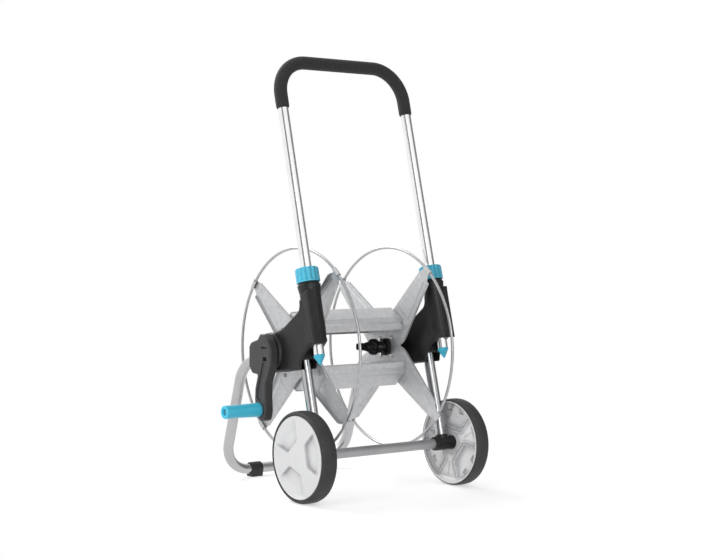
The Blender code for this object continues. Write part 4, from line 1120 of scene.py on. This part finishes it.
def beam_mesh(up):
    """A folded channel: its sheet's outline drawn out along X, with tabs at both ends."""
    half = [(0.026, 0.081), (0.058, 0.0585), (0.0617, 0.0345), (0.06, 0.0328)]
    line = [(-y, z, 0) for y, z in half[::-1]] + [(y, z, 0) for y, z in half]
    line = corner_path(line, 0.0032, 6)
    left, right = [], []
    for i, p in enumerate(line):
        ahead = (line[min(i + 1, len(line) - 1)] - line[max(i - 1, 0)]).normalized()
        across = Vector((-ahead.y, ahead.x, 0)) * SHEET / 2
        left.append(p + across)
        right.append(p - across)
    end = PLATE_X - SHEET / 2 - FIT
    rings = []
    for x in (-end, -end * 0.5, 0.0, end * 0.5, end):
        rings.append([(x, p.x, p.y * up) for p in left + right[::-1]])
    body = loft(rings)
    size = (2 * (end + FIT + SHEET + 0.005), SHEET, TAB_HIGH - TAB_LOW)
    tab_z = up * (TAB_LOW + TAB_HIGH) / 2
    extras = [box(size, (0, y, tab_z), 0.0003) for y in (-TAB_Y, TAB_Y)]
    # A flap folded in at each end, which rests on the disc plate
    flap = [(-0.0555, 0.058), (0.0555, 0.058), (0.0255, 0.0795), (-0.0255, 0.0795)]
    for x in (-1, 1):
        sheet = slab([(y, z * up) for y, z in flap], SHEET, 0.001, 2)
        extras.append(placed(sheet, at(x * (end - SHEET / 2 - 0.0002), 0, 0)))
    return merged(body, *extras)


for name, up in (("upper", 1), ("lower", -1)):
    piece(
        f"beam_folded_{name}", beam_mesh(up), "reel", zinc_folded, "galvanised_steel",
        f"drum_beam_{name}", place=REEL, angle=30,
    )


# Hubs
def screw_mesh(radius, height):
    """A pan head with a cross slot."""
    profile = [(0, 0), (radius, 0), (radius * 0.96, height * 0.5), (radius * 0.55, height), (0, height)]
    head = lathe(profile, 32, radius=radius * 0.2)
    long, wide = radius * 1.15, radius * 0.24
    arms = [box(size, (0, 0, height * 1.05)) for size in ((long, wide, height), (wide, long, height))]
    return carved(head, "DIFFERENCE", *arms)


HUB_FACE = PLATE_X + SHEET / 2 + FIT
JOURNAL_IN = SIDE_X - BOSS_IN - FIT
JOURNAL_OUT = SIDE_X + BOSS_OUT - 0.0005
KEY = 0.011
SCREW_RING = 0.0255
HUB_PROFILE = [
    (0, JOURNAL_OUT), (0.012, JOURNAL_OUT), (0.012, JOURNAL_IN), (0.014, JOURNAL_IN),
    (0.014, HUB_FACE + 0.0065), (0.0175, HUB_FACE + 0.003), (0.033, HUB_FACE + 0.0025),
    (0.034, HUB_FACE), (0.0085, HUB_FACE), (0.0085, PLATE_X - SHEET / 2), (0, PLATE_X - SHEET / 2),
]
pan_screw = screw_mesh(0.0046, 0.003)
for name, side in SIDES:
    hub = lathe(HUB_PROFILE, 64, radius=0.0006, steps=3)
    if side < 0:
        hub = carved(hub, "UNION", box((KEY, KEY, 0.016), (0, 0, JOURNAL_OUT + 0.004), 0.0006))
    else:
        hub = carved(hub, "DIFFERENCE", rod(WATER_R, PLATE_X - 0.02, JOURNAL_OUT + 0.02, 32))
    turned = REEL @ spun(side * QUARTER, "Y")
    piece(f"hub_{name}", hub, "reel", black_gloss, "black_plastic", f"reel_hub_{name}", place=turned)
    heads = []
    for degrees in (45, 135, 225, 315):
        a = radians(degrees)
        spot = (SCREW_RING * cos(a), SCREW_RING * sin(a))
        heads.append(placed(pan_screw, at(*spot, HUB_FACE + 0.0023) @ spun(a, "Z")))
        inner = at(*spot, PLATE_X - SHEET / 2 + 0.0001) @ spun(pi, "X")
        heads.append(placed(pan_screw, inner @ spun(a, "Z")))
    piece(f"hub_screws_{name}", merged(*heads), "reel", screw_steel, "steel_rod", place=turned)

# Crank and knob
CRANK_IN = SIDE_X + BOSS_OUT + FIT
CRANK_OUT = CRANK_IN + 0.02
CRANK = [
    (-0.0295, -0.0405), (-0.0385, -0.022), (-0.0385, 0.008), (-0.03, 0.028), (-0.0165, 0.0385),
    (0.0, 0.0385), (0.008, 0.0275), (0.033, 0.02), (0.0395, 0.012), (0.0395, -0.028),
    (0.029, -0.0415), (0.008, -0.043), (0.0175, -0.071), (0.019, -0.095), (0.012, -0.124),
    (-0.001, -0.1365), (-0.015, -0.134), (-0.0205, -0.116), (-0.0185, -0.085), (-0.0195, -0.06),
]
CRANK_RADII = [
    0.01, 0.018, 0.018, 0.016, 0.008, 0.004, 0.006, 0.008, 0.01, 0.01,
    0.01, 0.003, 0.02, 0.03, 0.012, 0.01, 0.01, 0.03, 0.04, 0.02,
]
CRANK_OUTLINE = outline(CRANK, CRANK_RADII, 6)
CHANNEL = [
    (-0.0265, -0.0165), (-0.01, -0.0165), (0.001, -0.048), (0.0105, -0.074), (0.012, -0.09),
    (0.0, -0.096), (-0.0122, -0.09), (-0.0125, -0.062), (-0.0248, -0.036),
]
CHANNEL_OUTLINE = outline(CHANNEL, 0.003, 5)


def crank_field(x, y, z):
    """From the hub's axis; the outer face is at -CRANK_OUT."""
    middle = -(CRANK_IN + CRANK_OUT) / 2
    flat = flat_field(CRANK_OUTLINE, y, z)
    form = round_max(flat, np.abs(x - middle) - 0.01, 0.0038)
    channel = np.maximum(flat_field(CHANNEL_OUTLINE, y, z), x + CRANK_OUT - 0.0028)
    form = round_max(form, -channel, 0.001)
    slot = np.maximum(np.abs(y + 0.0155) - 0.0104, np.abs(z - 0.0118) - 0.0016)
    form = round_max(form, -np.maximum(slot, x + CRANK_OUT - 0.005), 0.0004)
    socket = np.maximum(np.abs(y + 0.0178) - 0.007, np.abs(z + 0.0106) - 0.004)
    form = round_max(form, -np.maximum(socket, x + CRANK_OUT - 0.009), 0.0004)
    c, s = cos(-REEL_REST), sin(-REEL_REST)
    ky, kz = y * c - z * s, y * s + z * c
    hole = np.maximum(np.maximum(np.abs(ky), np.abs(kz)) - KEY / 2 - 0.0003, -x - CRANK_IN - 0.013)
    form = round_max(form, -hole, 0.0003)
    pin = np.sqrt(y * y + (z + CRANK_REACH) ** 2) - 0.0033
    return round_max(form, -pin, 0.0003)


pitch = 0.001
crank = skin(crank_field, (-CRANK_OUT - 0.0015, -0.041, -0.139), (-CRANK_IN + 0.0015, 0.042, 0.041), pitch)
piece("crank_arm", crank, "reel", black_crank_painted_lighter, "black_plastic", "crank", place=SWING, angle=45)
KNOB_IN = CRANK_OUT + FIT
KNOB_OUT = KNOB_IN + 0.083
PIN_PROFILE = [
    (0, KNOB_OUT - 0.006), (0.0062, KNOB_OUT - 0.0065), (0.0065, KNOB_OUT - 0.009),
    (0.005, KNOB_OUT - 0.009), (0.005, CRANK_OUT + 0.0002), (0.0029, CRANK_OUT + 0.0002),
    (0.0029, CRANK_IN + 0.001), (0, CRANK_IN + 0.001),
]
pin_mesh = lathe(PIN_PROFILE, 32, radius=0.0004, steps=2)
KNOB_PROFILE = [
    (0.0071, KNOB_OUT), (0.0122, KNOB_OUT), (0.0134, KNOB_OUT - 0.002), (0.0131, KNOB_OUT - 0.016),
    (0.013, KNOB_OUT - 0.034), (0.0136, KNOB_OUT - 0.055), (0.0144, KNOB_IN + 0.004),
    (0.013, KNOB_IN), (0.0053, KNOB_IN), (0.0053, KNOB_OUT - 0.0095), (0.0071, KNOB_OUT - 0.0095),
]
knob_mesh = lathe(KNOB_PROFILE, 64, closed=True, radius=0.0012, steps=4)
towards = SWING @ at(0, 0, -CRANK_REACH) @ spun(-QUARTER, "Y")
piece("knob_spindle", pin_mesh, "reel", grey_plastic, "black_plastic", "knob_pin", place=towards)
piece("knob_sleeve", knob_mesh, "knob", blue_knob_painted_lighter, "blue_plastic", "crank_knob", place=towards)

# Hose fitting
SEAT = REEL @ at(PLATE_X - SHEET / 2 - FIT, 0, 0) @ spun(-REEL_REST, "X")
ELBOW = radians(45)
OUTLET = Vector((-cos(ELBOW), sin(ELBOW), 0))
BEND_AT = Vector((-0.014, 0, 0))


def elbow_mesh():
    profile = [(0, 0), (0.018, 0), (0.018, -0.0045), (0.016, -0.0062), (0, -0.0062)]
    base = placed(lathe(profile, 48, radius=0.001, steps=3), ACROSS)
    path = corner_path([(-0.002, 0, 0), BEND_AT, BEND_AT + OUTLET * 0.0055], 0.012, 10)
    bend = loft(sweep_rings(path, 0.0115, 40))
    bead_path = [BEND_AT + OUTLET * k for k in (0.0026, 0.0032, 0.0048, 0.0054)]
    bead_radii = (0.0115, 0.0128, 0.0128, 0.0115)
    bead = loft(sweep_rings(bead_path, lambda i: bead_radii[i], 40))
    path = corner_path([(0.004, 0, 0), BEND_AT, BEND_AT + OUTLET * 0.03], 0.012, 10)
    way = loft(sweep_rings(path, WATER_R, 24))
    return carved(carved(base, "UNION", bend, bead), "DIFFERENCE", way)


piece("elbow", elbow_mesh(), "reel", black_gloss, "black_plastic", "hose_elbow", place=SEAT)
NOSE_AT = Matrix.Translation(BEND_AT + OUTLET * (0.0055 + FIT))
NOSE = SEAT @ NOSE_AT @ spun(-ELBOW, "Z") @ spun(-QUARTER, "Y")
NUT_LENGTH = 0.019


def nut_mesh():
    """A union nut with grip ribs between two plain rims."""
    profile = [
        (0.006, 0.0, 0), (0.014, 0.0, 0), (0.0156, 0.0012, 0), (0.0163, 0.003, 0),
        (0.017, 0.0034, 1), (0.017, 0.0142, 1), (0.0163, 0.0147, 0), (0.0155, 0.0165, 0),
        (0.0138, NUT_LENGTH, 0), (0.009, NUT_LENGTH, 0), (0.009, NUT_LENGTH - 0.004, 0),
        (0.006, NUT_LENGTH - 0.004, 0),
    ]
    ribs = 16

    def dent(a):
        return 0.0009 * smooth_step((cos(ribs * a) + 0.3) / 0.8)

    return fluted(profile, ribs * 10, dent)


nut = nut_mesh()
piece("union_nut", nut, "fitting_nut", black_gloss, "black_plastic", "hose_nut", place=NOSE, angle=45)
TAIL_PROFILE = [
    (WATER_R, NUT_LENGTH + 0.0265), (0.0062, NUT_LENGTH + 0.0265), (0.0072, NUT_LENGTH + 0.0245),
    (0.0072, NUT_LENGTH + 0.02), (0.0062, NUT_LENGTH + 0.0195), (0.0062, NUT_LENGTH + 0.017),
    (0.008, NUT_LENGTH + 0.0165), (0.008, NUT_LENGTH + 0.0105), (0.011, NUT_LENGTH + 0.002),
    (0.011, NUT_LENGTH + FIT), (0.0083, NUT_LENGTH + FIT), (0.0083, NUT_LENGTH - 0.004 + FIT),
    (WATER_R, NUT_LENGTH - 0.004 + FIT),
]
tail_mesh = lathe(TAIL_PROFILE, 40, closed=True, radius=0.0004, steps=2)
piece("barbed_tail", tail_mesh, "reel", black_gloss, "black_plastic", "hose_tail", place=NOSE)
INLET_PROFILE = [
    (WATER_R, 0.0185), (0.0062, 0.0185), (0.0072, 0.017), (0.0072, 0.0135), (0.0062, 0.013),
    (0.0062, 0.011), (0.0085, 0.0105), (0.0085, 0.006), (0.0165, 0.005), (0.0165, 0.0),
    (WATER_R, 0.0),
]
inlet_mesh = lathe(INLET_PROFILE, 48, closed=True, radius=0.0005, steps=3)
piece(
    "inlet_spigot", inlet_mesh, "frame", black_gloss, "black_plastic", "water_inlet",
    place=at(SIDE_X + BOSS_OUT + FIT, REEL_Y, REEL_Z) @ ACROSS,
)
for name, _ in SIDES:
    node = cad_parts[f"collet_{name}"]
    node.data.materials.clear()
    node.data.materials.append(pale)

# Floor, light and camera
FLOOR_HALF = 6.0
FLOOR_LIFT = 0.5
CARD_TOP = 3.4
CARD_AWAY = 2.2
MIDDLE = (0, 0, 0.4)


def seen_rays(tree):
    """1 for the rays that show a surface: straight, in a reflection or through glass."""
    rays = add_node(tree, "LightPath").outputs
    result = rays["Is Camera Ray"]
    for kind in ("Is Glossy Ray", "Is Transmission Ray"):
        result = add_node(tree, "Math", {0: result, 1: rays[kind]}, operation="MAXIMUM").outputs[0]
    return result


def backdrop_material():
    """White paper: it takes the cart's soft shadow nearby and is plain white further off."""
    p = Paint("backdrop", (0.8, 0.8, 0.8), 0.9).set("Specular IOR Level", 0.1)
    paper = p.shader.outputs[0]
    distance = p.node("VectorMath", {0: p.place}, operation="LENGTH").outputs["Value"]
    inputs = {0: distance, 1: 0.3, 2: 0.85}
    fade = p.node("MapRange", inputs, interpolation_type="SMOOTHSTEP").outputs[0]
    white = p.node("Emission", {"Strength": 1.0}).outputs[0]
    lift = p.node("Emission", {"Strength": FLOOR_LIFT}).outputs[0]
    near = p.node("AddShader", {0: paper, 1: lift}).outputs[0]
    shown = p.node("MixShader", {0: fade, 1: near, 2: white}).outputs[0]
    straight = p.node("LightPath").outputs["Is Camera Ray"]
    viewed = p.node("MixShader", {0: straight, 1: white, 2: shown}).outputs[0]
    final = p.node("MixShader", {0: seen_rays(p.tree), 1: paper, 2: viewed}).outputs[0]
    p.tree.links.new(final, p.tree.nodes["Material Output"].inputs["Surface"])
    return p.material


def add_sheet(name, corners, material):
    mesh = bpy.data.meshes.new(name)
    mesh.from_pydata(corners, [], [(0, 1, 2, 3)])
    mesh.materials.append(material)
    return add_object(name, mesh)


def dark_card(name, azimuth, width):
    """A dark screen that only shows in reflections, as in a studio, and draws dark lines on the tubes."""
    corners = [(0, y * width / 2, z) for y, z in ((-1, 0.02), (1, 0.02), (1, CARD_TOP), (-1, CARD_TOP))]
    made = add_sheet(name, corners, Paint(name, (0.28, 0.28, 0.28), 1.0).material)
    made.matrix_world = spun(radians(azimuth), "Z") @ at(CARD_AWAY, 0, 0)
    made.visible_camera = False
    made.visible_diffuse = False
    made.visible_shadow = False
    made.visible_transmission = False


floor_corners = [(x * FLOOR_HALF, y * FLOOR_HALF, 0) for x, y in ((-1, -1), (1, -1), (1, 1), (-1, 1))]
floor = add_sheet("floor", floor_corners, backdrop_material())
dark_card("card_left", -153, 1.05)
dark_card("card_right", -13, 3.0)

world = bpy.data.worlds.new("studio")
bpy.context.scene.world = world
world.use_nodes = True
sky = world.node_tree
background = sky.nodes["Background"].inputs
level = add_node(sky, "MapRange", {0: seen_rays(sky), 3: 0.4, 4: 1.0})
sky.links.new(level.outputs[0], background["Strength"])
background["Color"].default_value = (1, 1, 1, 1)


def aim(thing, location, direction):
    thing.location = location
    thing.rotation_mode = "QUATERNION"
    thing.rotation_quaternion = Vector(direction).to_track_quat("-Z", "Y")


def lamp(name, kind, location, target, power, mirrored_too=True, **settings):
    data = bpy.data.lights.new(name, kind)
    data.energy = power
    for key, value in settings.items():
        setattr(data, key, value)
    made = add_object(name, data)
    aim(made, location, Vector(target) - Vector(location))
    made.visible_glossy = mirrored_too


lamp("key", "AREA", (-2.8, -0.7, 1.0), MIDDLE, 44, False, shape="RECTANGLE", size=1.6, size_y=1.4)
lamp("fill", "AREA", (-0.9, -2.9, 1.1), MIDDLE, 13, shape="RECTANGLE", size=0.7, size_y=1.8)
lamp("back", "AREA", (-0.4, 2.1, 2.2), MIDDLE, 38, shape="RECTANGLE", size=2.4, size_y=1.2)
# A narrow lamp for the far wheel's inner face, which the cart itself shades
cone = {"spot_size": radians(5.0), "spot_blend": 0.6, "shadow_soft_size": 0.03}
lamp("low", "SPOT", (-2.2, -1.75, 0.4), (0.2, -0.135, 0.095), 120, False, **cone)

camera = bpy.data.cameras.new("camera")
camera.lens = 77.61
camera.sensor_width = 36
view = add_object("camera", camera)
aim(view, (-1.8391, -2.56365, 0.5118), (0.5981, 0.801, -0.0265))
bpy.context.scene.camera = view
bpy.context.scene.view_settings.view_transform = "Standard"
